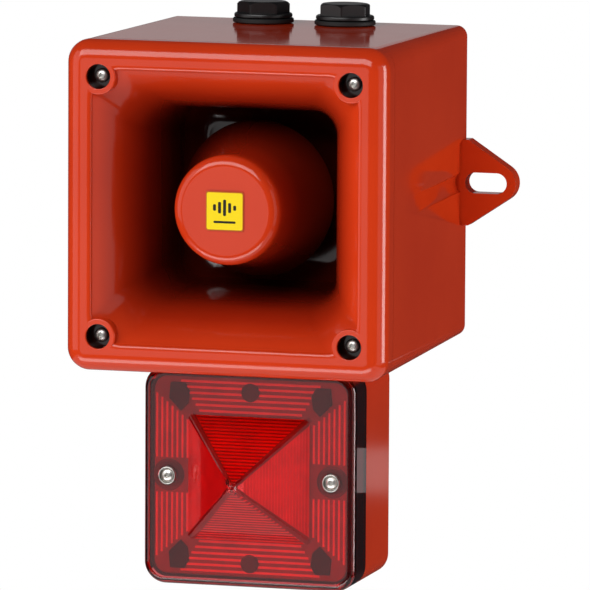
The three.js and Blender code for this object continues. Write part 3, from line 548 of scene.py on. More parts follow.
def lip_stations():
    """The rounded edge where the flat rim turns into the flare."""
    radius = 2.4 * MM
    end = flare_half(1.5 * MM)
    stations = [(-1 * MM, end + radius, 13.5 * MM)]
    for i in range(8):
        turn = i / 8 * math.pi / 2
        depth = 1.5 * MM * (1 - math.cos(turn))
        stations.append((depth, end + radius * (1 - math.sin(turn)) ** 1.2, 13 * MM))
    return stations


def boss(x, z):
    edge = 0.6 * MM
    radius = 7.3 * MM
    rounding = [(radius - edge + edge * math.sin(t), edge - edge * math.cos(t))
                for t in quarter(4)]
    return turned("boss", [(0, 0), *rounding, (radius, SPLIT)], 64, x, z)


def recess(x, z):
    edge = 0.4 * MM
    mouth = [(RECESS_RADIUS + edge - edge * math.sin(t), edge - edge * math.cos(t))
             for t in quarter(4)]
    profile = [(RECESS_RADIUS + edge, -1 * MM), *mouth, (RECESS_RADIUS, RECESS_DEPTH)]
    return turned("recess", profile, 64, x, z)


def front_cover():
    skin = rounded_rim(0, FACE_HALF, FACE_CORNER, EDGE_ROUND)
    shell = lofted("front_cover_skin", [*skin, (SPLIT, box_half(SPLIT), box_corner(SPLIT))], 14)
    hollow = FACE_HALF - 3 * MM
    inside = [(3 * MM, hollow - 3 * MM, 6 * MM), (6 * MM, hollow, 6 * MM), (SPLIT + 1 * MM, hollow, 6 * MM)]
    cut(shell, lofted("inside", inside, 8))
    joined(shell, lofted("flare", [(1 * MM, LIP_HALF + 2 * MM, 13 * MM), *flare_stations(2.6 * MM, 18)], 12))
    cut(shell, lofted("mouth", [*lip_stations(), *flare_stations(0, 40)], 14))
    places = [(x * SCREW_AT, z * SCREW_AT) for x, z in CORNERS.values()]
    joined(shell, *(boss(x, z) for x, z in places))
    cut(shell, *(recess(x, z) for x, z in places))
    cut(shell, *(pin(SCREW_CLEAR, 5 * MM, SPLIT + 1 * MM, x, z) for x, z in places))
    cut(shell, pin(11 * MM, 70 * MM, 77 * MM, 0, 0, 48))
    cut(shell, *(pin(SCREW_CLEAR, 72.8 * MM, 77 * MM, side * 31 * MM, 0, 20) for side in (-1, 1)))
    stand_for(smoothed(shell), "front_cover", HORN_PAINTED_SHADE)


# ---- reflector and label -------------------------------------------------------------------

DISC_RADIUS = 22.2 * MM
DISC_TOP = 2.5 * MM
DISC_EDGE = 4.5 * MM
RIM_RADIUS = 32.2 * MM
RIM_DEPTH = 50 * MM
LEG_RING = 24 * MM


def bell_radius(depth):
    along = (depth - DISC_TOP) / (RIM_DEPTH - DISC_TOP)
    return DISC_RADIUS + (RIM_RADIUS - DISC_RADIUS) * along ** 2.2


def reflector():
    outside = [(0, DISC_TOP)]
    outside += [(DISC_RADIUS - DISC_EDGE * (1 - math.sin(t)), DISC_TOP + DISC_EDGE * (1 - math.cos(t)))
                for t in quarter(8)]
    start = DISC_TOP + DISC_EDGE + 1 * MM
    depths = [start + (RIM_DEPTH - 0.6 * MM - start) * i / 20 for i in range(21)]
    outside += [(bell_radius(d), d) for d in depths]
    wall = 2.2 * MM
    rim = [(RIM_RADIUS - 0.3 * MM, RIM_DEPTH), (RIM_RADIUS - wall + 0.3 * MM, RIM_DEPTH)]
    inside = [(bell_radius(d) - wall, d) for d in reversed(depths[4:])]
    inside += [(DISC_RADIUS - 6 * MM, DISC_TOP + 3.2 * MM), (0, DISC_TOP + 3.2 * MM)]
    bell = turned("horn_reflector_skin", [*outside, *rim, *inside], 96)
    legs = []
    for degrees in (90, 210, 330):
        turn = math.radians(degrees)
        x, z = LEG_RING * math.cos(turn), LEG_RING * math.sin(turn)
        legs.append(pin(4 * MM, 24 * MM, FLARE_BOTTOM - GAP, x, z, 32))
    beyond = 40 * MM
    below = [(RIM_RADIUS, RIM_DEPTH), (beyond, RIM_DEPTH), (beyond, FLARE_BOTTOM)]
    core = turned("core", [*outside, *below], 96)
    for leg in legs:
        combined(leg, [duplicate(core)], "INTERSECT")
    bpy.data.objects.remove(core)
    joined(bell, *legs)
    stand_for(smoothed(bell), "horn_reflector", HORN_PAINTED_SHADE)


def rounded_patch(half_wide, half_high, radius, cx=0.0, cz=0.0):
    return [p for turn, (sx, sz) in enumerate(((1, 1), (-1, 1), (-1, -1), (1, -1)))
            for p in arc(cx + sx * (half_wide - radius), cz + sz * (half_high - radius), radius,
                         90 * turn, 90 * turn + 90, 8)]


def label():
    low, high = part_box("label_plate")
    half = (high.x - low.x) / 2
    front, back = low.y - FACE_Y, high.y - FACE_Y
    edge = outlined("label_border", rounded_patch(half, half, 1 * MM), front + 0.08 * MM, back)
    face = outlined("label_face", rounded_patch(half - 0.45 * MM, half - 0.45 * MM, 0.8 * MM),
                    front + 0.04 * MM, front + 0.07 * MM)
    stand_for(smoothed(edge), "label_plate", ORANGE)
    ride_label(face, YELLOW)
    heights = (2.6, 4.6, 6.6, 4.0, 2.0)
    for i, height in enumerate(heights):
        bar = rounded_patch(0.62 * MM, height / 2 * MM, 0.5 * MM, (i - 2) * 2.1 * MM, 1.4 * MM)
        ride_label(outlined(f"label_bar_{i + 1}", bar, front, front + 0.03 * MM), INK)
    rule = rounded_patch(4.6 * MM, 0.45 * MM, 0.4 * MM, 0, -4.4 * MM)
    ride_label(outlined("label_rule", rule, front, front + 0.03 * MM), INK)


def ride_label(thing, finish):
    thing.data.materials.append(finish)
    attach(smoothed(thing), BODY_OF["label_plate"])


# ---- rear housing --------------------------------------------------------------------------

LUG_THICK = 7.2 * MM
LUG_TIP = HOUSING_HIGH.x
LUG_TIP_RADIUS = 8 * MM
LUG_ROOT_HALF = 17.8 * MM
SLOT_AT = 74.4 * MM
POCKET_FRONT = 26 * MM
POCKET_BACK = DEPTH - LUG_THICK
POCKET_LOW = 1.1 * MM
ENTRY_AT = 115.5 * MM
ENTRY_ASIDE = 17.5 * MM
ENTRY_RADIUS = 10.3 * MM
BOARD_SCREWS = [(x * MM, z * MM) for x in (-38, 38) for z in (22, -30)]


def lug_outline():
    tip = LUG_TIP - LUG_TIP_RADIUS
    shoulder = BACK_HALF + 2.4 * MM
    reach = math.hypot(tip - shoulder, LUG_ROOT_HALF)
    bearing = math.atan2(LUG_ROOT_HALF, shoulder - tip)
    tangent = math.degrees(bearing - math.acos(LUG_TIP_RADIUS / reach))
    root = BACK_HALF - 3 * MM
    return [(root, -LUG_ROOT_HALF), (shoulder, -LUG_ROOT_HALF),
            *arc(tip, 0, LUG_TIP_RADIUS, -tangent, tangent, 24),
            (shoulder, LUG_ROOT_HALF), (root, LUG_ROOT_HALF)]


def slot_outline():
    radius = 4.3 * MM
    half = 8.85 * MM - radius
    return arc(SLOT_AT + half, 0, radius, -90, 90, 20) + arc(SLOT_AT - half, 0, radius, 90, 270, 20)


def lug(side):
    body = outlined("lug", lug_outline(), DEPTH - LUG_THICK, DEPTH)
    cut(body, outlined("slot", slot_outline(), DEPTH - LUG_THICK - 1 * MM, DEPTH + 1 * MM))
    bevelled(body, 0.7 * MM, 3)
    return body if side > 0 else mirrored(body)


def pocket(side):
    """The shallow wedge cut from the side wall, which widens back to the lug."""
    rows = []
    corners = ((0, -1), (10 * MM, -1), (10 * MM, 1), (0, 1))
    for depth, half, sunk in ((POCKET_FRONT, 0.05 * MM, 0), (POCKET_BACK, LUG_ROOT_HALF, POCKET_LOW)):
        floor = box_half(depth) - sunk
        rows.append([(floor + out, FACE_Y + depth, s * half) for out, s in reversed(corners)])
    body = ringed("pocket", rows)
    return body if side > 0 else mirrored(body)


def groove(side):
    """A shallow channel of even width that runs back to the slot, in the floor of the pocket."""
    front, end = 50 * MM, POCKET_BACK + 0.01 * MM
    half_wide, sides = 3.9 * MM, 40
    rings = []
    for i in range(13):
        depth = front + (end - front) * i / 12
        floor = box_half(depth) - POCKET_LOW * (depth - POCKET_FRONT) / (end - POCKET_FRONT)
        sunk = (0.04 + 1.7 * i / 12) * MM
        rings.append([(floor + sunk * math.cos(t), FACE_Y + depth, half_wide * math.sin(t))
                      for t in (-2 * math.pi * k / sides for k in range(sides))])
    body = ringed("groove", rings)
    return body if side > 0 else mirrored(body)


def rear_housing():
    front = SPLIT + GAP
    back_round = 1.2 * MM
    skin = [(front, box_half(front), box_corner(front))]
    for t in quarter(4):
        half = box_half(DEPTH) - back_round * (1 - math.cos(t))
        skin.append((DEPTH - back_round * (1 - math.sin(t)), half, BACK_CORNER))
    shell = lofted("rear_housing_skin", skin, 14)
    wall = 4.2 * MM
    into_back = DEPTH - 2 * MM
    inner = [(front - 1 * MM, box_half(front) - wall, 5.5 * MM), (DEPTH - 3.5 * MM, BACK_HALF - wall, 3 * MM)]
    cut(shell, lofted("inside", inner, 8))
    ribs = [block("rib", s * 60.4 * MM, 0, 3 * MM, 12 * MM, 50 * MM, into_back) for s in (-1, 1)]
    joined(shell, *ribs)
    for s in (-1, 1):
        cut(shell, pocket(s), groove(s))
        joined(shell, lug(s))
        slot = outlined("slot", slot_outline(), DEPTH - LUG_THICK - 1 * MM, DEPTH + 1 * MM)
        cut(shell, slot if s > 0 else mirrored(slot))
    posts = []
    for x, z in CORNERS.values():
        posts.append(pin(6.5 * MM, front, into_back, x * SCREW_AT, z * SCREW_AT, 32))
        web_x, web_z = x * 57.3 * MM, z * 57.3 * MM
        posts.append(block("web", web_x, web_z, 9.4 * MM, 9.4 * MM, front + 0.02 * MM, into_back))
    for x, z in BOARD_SCREWS:
        posts.append(pin(3.4 * MM, 126.3 * MM, into_back, x, z))
    joined(shell, *posts)
    holes = [pin(SCREW_CLEAR, SPLIT - 1 * MM, front + 22 * MM, x * SCREW_AT, z * SCREW_AT, 20)
             for x, z in CORNERS.values()]
    holes += [pin(1.5 * MM, 124 * MM, DEPTH - 3 * MM, x, z, 16) for x, z in BOARD_SCREWS]
    cut(shell, *holes, seal_groove(65 * MM, 8 * MM, front, SPLIT + 2.4 * MM, 0))
    cut(shell, *(entry_tool(s) for s in (-1, 1)), nipple_tool(-BACK_HALF - 5 * MM, -BACK_HALF + 8 * MM))
    stand_for(smoothed(shell), "rear_housing")


def seal_groove(half, corner, front, back, centre_z):
    """A tool for the groove that holds a seal round a rounded square."""
    wide = 1.1 * MM + GAP
    outside = [(front - 1 * MM, half + GAP, corner + GAP), (back + GAP, half + GAP, corner + GAP)]
    ring = lofted("groove", outside, 10, centre_z)
    core = [(front - 2 * MM, half - wide, corner - wide), (back + 1 * MM, half - wide, corner - wide)]
    return cut(ring, lofted("core", core, 10, centre_z))


def entry_matrix(side):
    """A cable entry's place on the sloping top face."""
    place = Vector((side * ENTRY_ASIDE, FACE_Y + ENTRY_AT, box_half(ENTRY_AT)))
    return Matrix.Translation(place) @ Matrix.Rotation(-DRAFT, 4, "X")


def entry_tool(side):
    tool = upright("entry", [(ENTRY_RADIUS, -8 * MM), (ENTRY_RADIUS, 8 * MM)], 48)
    tool.data.transform(entry_matrix(side))
    return tool


def nipple_tool(low, high):
    """A tool for the way between the two boxes, between two heights."""
    tool = upright("nipple_way", [(NIPPLE_CLEAR, low), (NIPPLE_CLEAR, high)], 48)
    tool.data.transform(Matrix.Translation((0, FACE_Y + NIPPLE_AT, 0)))
    return tool


# ---- stopping plugs ------------------------------------------------------------------------


HEX_FLATS = 19 * MM
HEX_HEIGHT = 4.9 * MM
THREAD_PITCH = 1.5 * MM


def hex_ring(flats, height, edge=0.7 * MM):
    """A hexagon with slightly rounded corners, as a ring of points at one height."""
    ring = []
    corner = flats / math.sqrt(3)
    for i in range(6):
        middle = math.pi / 3 * i
        for step in (-1, -0.5, 0, 0.5, 1):
            turn = middle + step * math.radians(4.2)
            flat = flats / 2 / math.cos(math.pi / 6 - abs(turn - middle))
            reach = min(flat, corner - edge * 0.16)
            ring.append((reach * math.cos(turn), reach * math.sin(turn), height))
    return ring


def plug_surface(name, side, degrees):
    low = GAP + 1.8 * MM + GAP
    high = low + 1.8 * MM
    top = high + HEX_HEIGHT
    rim = [(11.6 * MM, low), (12 * MM, low + 0.3 * MM), (12 * MM, high - 0.7 * MM),
           (11.8 * MM, high - 0.25 * MM), (11.4 * MM, high), (0, high)]
    flange = upright(name, rim, 96)
    head = ringed("hex", [hex_ring(HEX_FLATS, high - 0.4 * MM), hex_ring(HEX_FLATS, top)])
    crown = [(12 * MM, high - 1 * MM), (12 * MM, top - 2.6 * MM), (10.9 * MM, top - 1.3 * MM),
             (10.2 * MM, top - 0.55 * MM), (9.3 * MM, top - 0.12 * MM), (8.4 * MM, top), (0, top)]
    combined(head, [upright("crown", crown, 96)], "INTERSECT")
    bevelled(head, 0.25 * MM, 2, 50)
    thread = threaded(9.8 * MM, -11.5 * MM, low + 0.5 * MM, THREAD_PITCH)
    joined(flange, head, thread)
    cut(flange, upright("bore", [(7.4 * MM, -13 * MM), (7.4 * MM, low)], 48))
    turn = Matrix.Rotation(math.radians(degrees), 4, "Z")
    flange.data.transform(entry_matrix(side) @ turn)
    return flange


def threaded(radius, low, high, pitch):
    """A shank with ridges at the thread's pitch."""
    root = radius - 0.8 * MM
    profile = [(radius - 1.2 * MM, low)]
    height = low + 0.6 * MM
    while height + pitch < high:
        profile += [(root, height), (radius, height + pitch * 0.4), (radius, height + pitch * 0.5)]
        height += pitch
    return upright("thread", [*profile, (root, height), (root, high)], 64)


def stopping_plugs():
    for name, side, degrees in (("left", -1, 16), ("right", 1, 36)):
        node = f"stopping_plug_{name}"
        stand_for(smoothed(plug_surface(f"{node}_skin", side, degrees), 28), node)
        profile = [(12.3 * MM, GAP), (12.6 * MM, 0.6 * MM), (12.6 * MM, 1.7 * MM), (12.3 * MM, 2.1 * MM)]
        washer = upright(f"plug_washer_{name}_skin", profile, 96)
        cut(washer, upright("bore", [(ENTRY_RADIUS, -1 * MM), (ENTRY_RADIUS, 4 * MM)], 48))
        washer.data.transform(entry_matrix(side))
        stand_for(smoothed(washer), f"plug_washer_{name}")


# ---- screws --------------------------------------------------------------------------------


def pan_screw(node, head_radius, x, z):
    """A pan-head screw with a cross recess."""
    shank_radius = 1.5 * MM
    low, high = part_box(node)
    top, tip = low.y - FACE_Y, high.y - FACE_Y
    height = head_radius * 0.76
    profile = [(head_radius * math.sin(t), top + height * 0.72 * (1 - math.cos(t)))
               for t in quarter(8)]
    profile += [(head_radius, top + height), (shank_radius, top + height), (shank_radius, tip - 1.2 * MM),
                (0.3 * MM, tip)]
    screw = turned(f"{node}_skin", profile, 48, x, z)
    reach = top + height * 0.75
    for wide, tall in ((head_radius * 1.1, 0.62 * MM), (0.62 * MM, head_radius * 1.1)):
        wing = block("wing", x, z, wide, tall, top - 1 * MM, reach)
        taper_back(wing, x, z, 0.62)
        cut(screw, wing)
    core = turned("core", [(1.15 * MM, top - 1 * MM), (0.85 * MM, reach)], 16, x, z)
    cut(screw, core)
    stand_for(smoothed(screw, 35), node)


def taper_back(thing, x, z, keep):
    """Narrows a block's back end toward its own axis."""
    back = max(v.co.y for v in thing.data.vertices)
    for vertex in thing.data.vertices:
        if vertex.co.y > back - 0.01 * MM:
            vertex.co.x = x + (vertex.co.x - x) * keep
            vertex.co.z = z + (vertex.co.z - z) * keep


def screws():
    for name, (x, z) in CORNERS.items():
        pan_screw(f"cover_screw_{name}", 2.9 * MM, x * SCREW_AT, z * SCREW_AT)
    for name, side in (("left", -1), ("right", 1)):
        x = side * LENS_SCREW_X
        pan_screw(f"lens_screw_{name}", 2.7 * MM, x, BEACON_Z)
        front = LENS_FRONT - 0.4 * MM
        outside = [(3.3 * MM, front), (3.52 * MM, front + 0.12 * MM), (3.6 * MM, front + 0.35 * MM),
                   (3.6 * MM, front + 2.7 * MM)]
        cup = turned(f"lens_cup_{name}_skin", outside, 64, x, BEACON_Z)
        bowl = [(3.2 * MM, front - 1 * MM), (3.05 * MM, front + 0.3 * MM), (3.05 * MM, front + 2 * MM)]
        cut(cup, turned("bowl", bowl, 64, x, BEACON_Z))
        cut(cup, pin(SCREW_CLEAR, front, front + 4 * MM, x, BEACON_Z, 32))
        stand_for(smoothed(cup), f"lens_cup_{name}")


# ---- beacon --------------------------------------------------------------------------------

LENS_SCREW_X = 34.6 * MM
PYRAMID_HALF = 25.5 * MM
APEX_DEPTH = LENS_LOW.y - FACE_Y
LENS_WALL = 2.4 * MM
LENS_EDGE = 3.2 * MM
POINT_SLOPE = PYRAMID_HALF / (LENS_FRONT - APEX_DEPTH)
POINT_SET_BACK = 1.42
PANEL_DEPTH = LENS_FRONT + LENS_WALL + 1.2 * MM
PLATE_HALF = BEACON_HALF - LENS_WALL - 1.6 * MM
PEG_Z = 35.1 * MM


def squared(name, stations, corner=1.2 * MM, segments=4):
    """A rounded rectangle along the depth: stations are (depth, half width, half height)."""
    rings = []
    for depth, half_x, half_z in stations:
        radius = min(corner, half_x * 0.6, half_z * 0.6)
        ring = []
        for turn, (sx, sz) in enumerate(((1, 1), (-1, 1), (-1, -1), (1, -1))):
            x, z = sx * (half_x - radius), sz * (half_z - radius)
            ring += arc(x, z, radius, 90 * turn, 90 * turn + 90, segments)
        rings.append([(x, FACE_Y + depth, z + BEACON_Z) for x, z in reversed(ring)])
    return ringed(name, rings)


def lens_point(inset, base_depth):
    """The outside of the lens point, or the same shape set back by an inset."""
    apex = APEX_DEPTH + inset * POINT_SET_BACK
    tip_end = 2.4 * MM
    stations = [(apex + drop * MM, wide * MM, wide * MM)
                for drop, wide in ((0, 0.3), (0.1, 0.8), (0.35, 1.25), (0.8, 1.7), (1.5, 2.15))]
    for i in range(1, 9):
        depth = apex + tip_end + (base_depth - apex - tip_end) * i / 8
        half = (depth - apex) * POINT_SLOPE
        stations.append((depth, half, half))
    return squared("point", stations, 1.9 * MM, 6)


def lens_skin():
    rim = rounded_rim(LENS_FRONT, BEACON_HALF, BEACON_CORNER, LENS_EDGE, 8)
    body = lofted("beacon_lens_skin", [*rim, (LENS_BACK, BEACON_HALF, BEACON_CORNER)], 12, BEACON_Z)
    joined(body, lens_point(0, LENS_FRONT + 1 * MM))
    hollow = BEACON_HALF - LENS_WALL
    corner = BEACON_CORNER - LENS_WALL
    inside = [(LENS_FRONT + LENS_WALL, hollow - 0.6 * MM, corner),
              (LENS_FRONT + LENS_WALL + 0.6 * MM, hollow, corner), (LENS_BACK + 1 * MM, hollow, corner)]
    cut(body, lofted("inside", inside, 10, BEACON_Z))
    cut(body, lens_point(LENS_WALL, LENS_FRONT + LENS_WALL + 1 * MM))
    for side in (-1, 1):
        x = side * LENS_SCREW_X
        cut(body, pin(3.9 * MM, LENS_FRONT - 1 * MM, LENS_FRONT + 3 * MM, x, BEACON_Z, 48))
        cut(body, pin(SCREW_CLEAR, LENS_FRONT, LENS_BACK + 1 * MM, x, BEACON_Z))
    stand_for(smoothed(body, 28), "beacon_lens")


def inner_lens(thing, finish, angle=30):
    """A moulded feature on the inside of the lens, which moves with it."""
    thing.data.materials.clear()
    thing.data.materials.append(finish)
    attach(smoothed(thing, angle), "lens")


def inner_apex(clear):
    """The depth of the apex of a point set back from the outside of the lens."""
    return APEX_DEPTH + (LENS_WALL + clear) * POINT_SET_BACK


def prism(name):
    """The inside of the lens point, which the rows and lines are moulded on."""
    apex = inner_apex(0.6 * MM)
    stations = []
    for i in range(9):
        half = (PANEL_DEPTH - apex) * i / 8 * POINT_SLOPE + 0.15 * MM
        stations.append((apex + (PANEL_DEPTH - apex) * i / 8 + 0.1 * MM, half, half))
    return squared(name, stations, 0.5 * MM, 2)


def rods(name, ends, radius, sides=8):
    """Separate round rods in one mesh, each between two points."""
    points, faces = [], []
    for start, end in ends:
        along = (end - start).normalized()
        side = along.cross(Vector((0, 1, 0))).normalized()
        rise = side.cross(along)
        base = len(points)
        for middle in (start, end):
            for k in range(sides):
                turn = 2 * math.pi * k / sides
                points.append(middle + (side * math.cos(turn) + rise * math.sin(turn)) * radius)
        for k in range(sides):
            a, b = base + k, base + (k + 1) % sides
            faces.append((a, a + sides, b + sides, b))
        faces.append(tuple(base + k for k in range(sides)))
        faces.append(tuple(base + sides + k for k in reversed(range(sides))))
    return make(name, points, faces)


def point_rows():
    """Rows across the upper and lower slopes of the point, and fine upright lines on the right one."""
    apex = inner_apex(0.6 * MM)
    for name, edge in (("upper", 1), ("lower", -1)):
        ends = []
        for i in range(1, 21):
            depth = apex + (PANEL_DEPTH - apex) * i / 21
            out = (depth - apex) * POINT_SLOPE
            y, z = FACE_Y + depth, BEACON_Z + edge * out
            ends.append((Vector((-out * 0.94, y, z)), Vector((out * 0.94, y, z))))
        inner_lens(rods(f"lens_rows_{name}", ends, 0.34 * MM), RIBS)
    ends = []
    for i in range(2, 25):
        depth = apex + (PANEL_DEPTH - apex) * i / 25
        out = (depth - apex) * POINT_SLOPE
        y = FACE_Y + depth
        ends.append((Vector((out, y, BEACON_Z - out * 0.93)), Vector((out, y, BEACON_Z + out * 0.93))))
    inner_lens(rods("lens_lines_right", ends, 0.2 * MM), RIDGE)


def bar(name, ends, across, radius):
    """A half-round bar between two (x, z) points on the inner panel."""
    (x0, z0), (x1, z1) = ends
    along = Vector((x1 - x0, 0, z1 - z0)).normalized()
    side = Vector((-along.z, 0, along.x))
    rings = []
    for x, z in ends:
        middle = Vector((x, FACE_Y + PANEL_DEPTH, z + BEACON_Z))
        ring = []
        for k in range(10):
            turn = math.pi * 2 * k / 10
            ring.append(middle + side * (across * math.cos(turn)) + Vector((0, -radius * math.sin(turn), 0)))
        rings.append(ring)
    return ringed(name, rings)


def lens_plate():
    """The flat inner panel."""
    faces = [(depth, PLATE_HALF, PLATE_HALF) for depth in (PANEL_DEPTH, PANEL_DEPTH + 1.6 * MM)]
    inner_lens(bevelled(squared("lens_panel", faces, 5.5 * MM, 8), 0.4 * MM, 2), PANEL)


def lens_painted_shade_liner():
    """A near-black wall round the inner panel: a dark sheet of painted shade for the dark edge of the lens.
    """
    outer = PLATE_HALF + 1.3 * MM
    inner = PLATE_HALF + 0.1 * MM
    skin = [(PANEL_DEPTH - 0.4 * MM, outer, outer), (LENS_BACK - 0.4 * MM, outer, outer)]
    core = [(PANEL_DEPTH - 2 * MM, inner, inner), (LENS_BACK + 1 * MM, inner, inner)]
    liner = squared("lens_painted_shade_liner", skin, 5.8 * MM, 8)
    cut(liner, squared("core", core, 5.4 * MM, 8))
    inner_lens(liner, RIM_PAINTED_SHADE)


def lens_bars():
    """Bars along the four sides of the panel; the side ones stop short of the screws."""
    for side, edge in (("upper", 1), ("lower", -1)):
        for i in range(6):
            z = edge * (26.8 + 2.4 * i) * MM
            reach = (21.6 + 1.55 * i) * MM
            inner_lens(bar(f"lens_bar_{side}_{i + 1}", ((-reach, z), (reach, z)), 0.5 * MM, 0.9 * MM), RIDGE)
    for side, edge in (("left", -1), ("right", 1)):
        for i in range(7):
            x = edge * (26.7 + 2.15 * i) * MM
            for part, end in (("above", 1), ("below", -1)):
                reach = (23 + 1.75 * i) * MM
                ends = ((x, end * 7.2 * MM), (x, end * reach))
                inner_lens(bar(f"lens_bar_{side}_{part}_{i + 1}", ends, 0.42 * MM, 0.8 * MM), RIDGE)


def lens_corners():
    """A dark block in each corner of the panel."""
    outline = [(25.6, 34.5), (27.6, 38.2), (33.8, 38.2), (34.4, 31.5), (29.4, 26.4), (26.4, 29.5)]
    front, back = PANEL_DEPTH - 1.1 * MM, PANEL_DEPTH + 0.4 * MM
    for corner, (sx, sz) in CORNERS.items():
        shape = [(sx * x * MM, BEACON_Z + sz * z * MM) for x, z in outline]
        if sx * sz > 0:
            shape.reverse()
        corner_block = outlined(f"lens_corner_{corner}", shape, front, back)
        inner_lens(bevelled(corner_block, 0.35 * MM, 2), DEEP)


def lens_bosses():
    """A peg above and below the point, and a sleeve round each screw; the sleeves are dark as painted shade
    round the screws.
    """
    back = PANEL_DEPTH + 0.4 * MM
    peg = [(1.6 * MM, PANEL_DEPTH - 0.9 * MM), (3.3 * MM, PANEL_DEPTH - 1.2 * MM),
           (3.8 * MM, PANEL_DEPTH - 0.9 * MM), (3.8 * MM, back)]
    for name, edge in (("upper", 1), ("lower", -1)):
        inner_lens(turned(f"lens_peg_{name}", peg, 40, 0, BEACON_Z + edge * PEG_Z), BOSSES)
    # Painted shade: the sleeves' dark colour stands for the shade round each screw.
    sleeve = [(3.9 * MM, PANEL_DEPTH - 0.9 * MM), (5.6 * MM, PANEL_DEPTH - 0.7 * MM),
              (6.6 * MM, PANEL_DEPTH - 0.1 * MM), (6.6 * MM, back)]
    for name, edge in (("left", -1), ("right", 1)):
        inner_lens(turned(f"lens_sleeve_{name}", sleeve, 48, edge * LENS_SCREW_X, BEACON_Z), BOSSES)


def diagonals():
    """Dark rounded ribs under the four edges of the point."""
    apex = inner_apex(0.3 * MM)
    for corner, (sx, sz) in CORNERS.items():
        rings = []
        for i in range(13):
            depth = apex + (PANEL_DEPTH - apex) * i / 12
            out = (depth - apex) * POINT_SLOPE
            centre = Vector((sx * out, FACE_Y + depth, BEACON_Z + sz * out))
            side = Vector((sx, 0, -sz)).normalized()
            rise = Vector((sx, -1, sz)).normalized()
            wide = (0.5 + 0.7 * i / 12) * MM
            ring = [centre + side * (wide * math.cos(t)) + rise * (0.35 * MM * math.sin(t))
                    for t in (2 * math.pi * k / 12 for k in range(12))]
            rings.append(ring if sx * sz > 0 else list(reversed(ring)))
        inner_lens(ringed(f"lens_rib_{corner}", rings), RIBS)


def beacon_base():
    front = LENS_BACK + GAP
    back = BASE_HIGH.y - FACE_Y
    skin = [(front, BEACON_HALF, BEACON_CORNER)]
    for t in quarter(5):
        half = BEACON_HALF - 0.2 * MM - 1.3 * MM * (1 - math.cos(t))
        skin.append((back - 1.5 * MM * (1 - math.sin(t)), half, BEACON_CORNER - 0.8 * MM))
    shell = lofted("beacon_base_skin", skin, 12, BEACON_Z)
    inner = [(front - 1 * MM, BEACON_HALF - 3.6 * MM, 6 * MM),
             (back - 3 * MM, BEACON_HALF - 3.9 * MM, 6 * MM)]
    cut(shell, lofted("inside", inner, 8, BEACON_Z))
    into_back = back - 1 * MM
    screw_places = [side * LENS_SCREW_X for side in (-1, 1)]
    posts = [pin(5.3 * MM, front, into_back, x, BEACON_Z, 40) for x in screw_places]
    for x in (-20, 20):
        for z in (-26, 22):
            posts.append(pin(3 * MM, 79.9 * MM, into_back, x * MM, BEACON_Z + z * MM))
    joined(shell, *posts)
    cut(shell, *(pin(SCREW_CLEAR, front - 1 * MM, front + 20 * MM, x, BEACON_Z, 20) for x in screw_places))
    inset = 1.5 * MM
    cut(shell, seal_groove(BEACON_HALF - inset, BEACON_CORNER - inset, front, front + 2.2 * MM, BEACON_Z))
    cut(shell, nipple_tool(BASE_HIGH.z - 8 * MM, BASE_HIGH.z + 3 * MM))
    stand_for(smoothed(shell), "beacon_base")


# ---- light and floor -----------------------------------------------------------------------


def panel(name, place, aim, wide, high, power):
    """A soft light that shines at a point and stays out of the picture."""
    data = bpy.data.lights.new(name, "AREA")
    data.shape = "RECTANGLE"
    data.size, data.size_y = wide, high
    data.energy = power
    light = bpy.data.objects.new(name, data)
    bpy.context.scene.collection.objects.link(light)
    light.location = place
    light.rotation_mode = "QUATERNION"
    light.rotation_quaternion = (Vector(aim) - Vector(place)).to_track_quat("-Z", "Y")
    light.visible_camera = False


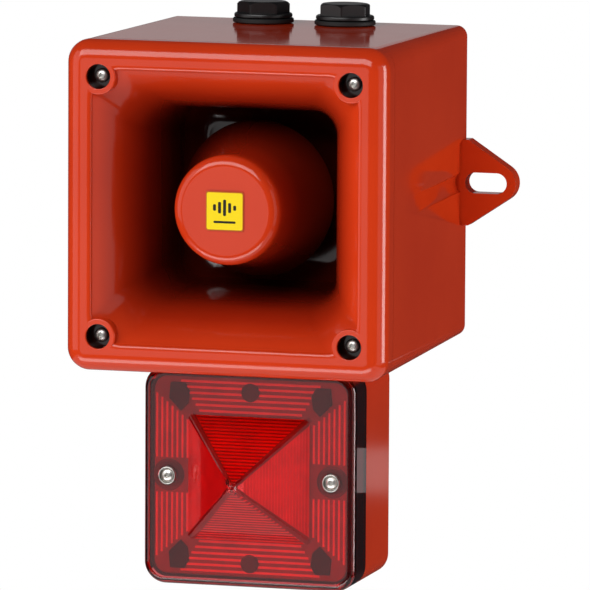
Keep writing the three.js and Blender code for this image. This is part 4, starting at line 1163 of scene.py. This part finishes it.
def add_light():
    panel("over", (-0.45, -1.75, 1.2), (0, -0.1, -0.02), 2.3, 1.1, 33)
    panel("below", (-0.2, -0.85, -0.95), (0, -0.1, -0.05), 1.5, 0.45, 8)
    panel("left", (-2.2, -1.5, 0.5), (0, -0.1, -0.04), 2.0, 2.4, 15.5)
    panel("right", (2.1, 0.15, 0.1), (0, -0.06, -0.06), 0.8, 1.3, 22)
    panel("glow", (1.9, -0.62, 0.0), (0, -0.1, -0.06), 1.6, 1.8, 5)
    panel("front", (-0.8, -2.9, -0.35), (0, -0.1, -0.05), 1.1, 0.9, 2.6)
    panel("backdrop", (-1.0, 1.9, 0.38), (0, 0, 0.05), 1.5, 0.56, 0.9)
    panel("gleam", (0.32, 0.87, -0.262), (0.04, -0.09, -0.11), 0.12, 0.024, 0.0035)
    world = bpy.data.worlds.new("studio")
    bpy.context.scene.world = world
    world.use_nodes = True
    nodes, links = world.node_tree.nodes, world.node_tree.links
    room = nodes["Background"]
    room.inputs["Color"].default_value = (0.9, 0.92, 1, 1)
    room.inputs["Strength"].default_value = 0.03
    white = nodes.new("ShaderNodeBackground")
    white.inputs["Strength"].default_value = 1.0
    white.inputs["Color"].default_value = (1, 1, 1, 1)
    mix = nodes.new("ShaderNodeMixShader")
    ray = nodes.new("ShaderNodeLightPath")
    links.new(ray.outputs["Is Camera Ray"], mix.inputs["Fac"])
    links.new(room.outputs["Background"], mix.inputs[1])
    links.new(white.outputs["Background"], mix.inputs[2])
    links.new(mix.outputs["Shader"], nodes["World Output"].inputs["Surface"])
    bpy.context.scene.view_settings.view_transform = "Standard"


def add_floor():
    half = 1.6
    z = CAD_BOX[0].z - 0.9
    corners = [(-half, -half, z), (half, -half, z), (half, half, z), (-half, half, z)]
    floor = make("floor", corners, [(0, 1, 2, 3)])
    finish = Finish("floor_pale", Roughness=0.6)
    greys = finish.ramp(finish.noise(3, 2), (0.4, (0.66, 0.66, 0.66, 1)), (0.6, (0.68, 0.68, 0.68, 1)))
    finish.drive("Base Color", greys)
    finish.shader.inputs["Emission Color"].default_value = (0.9, 0.9, 0.9, 1)
    finish.shader.inputs["Emission Strength"].default_value = 0.22
    floor.data.materials.append(finish.material)


# ---- the scene -----------------------------------------------------------------------------

add_camera()
dress_cad()
front_cover()
reflector()
label()
rear_housing()
stopping_plugs()
screws()
lens_skin()
lens_plate()
inner_lens(prism("lens_prism_inside"), PRISM, 15)
point_rows()
lens_painted_shade_liner()
lens_bars()
lens_corners()
lens_bosses()
diagonals()
beacon_base()
add_light()
add_floor()
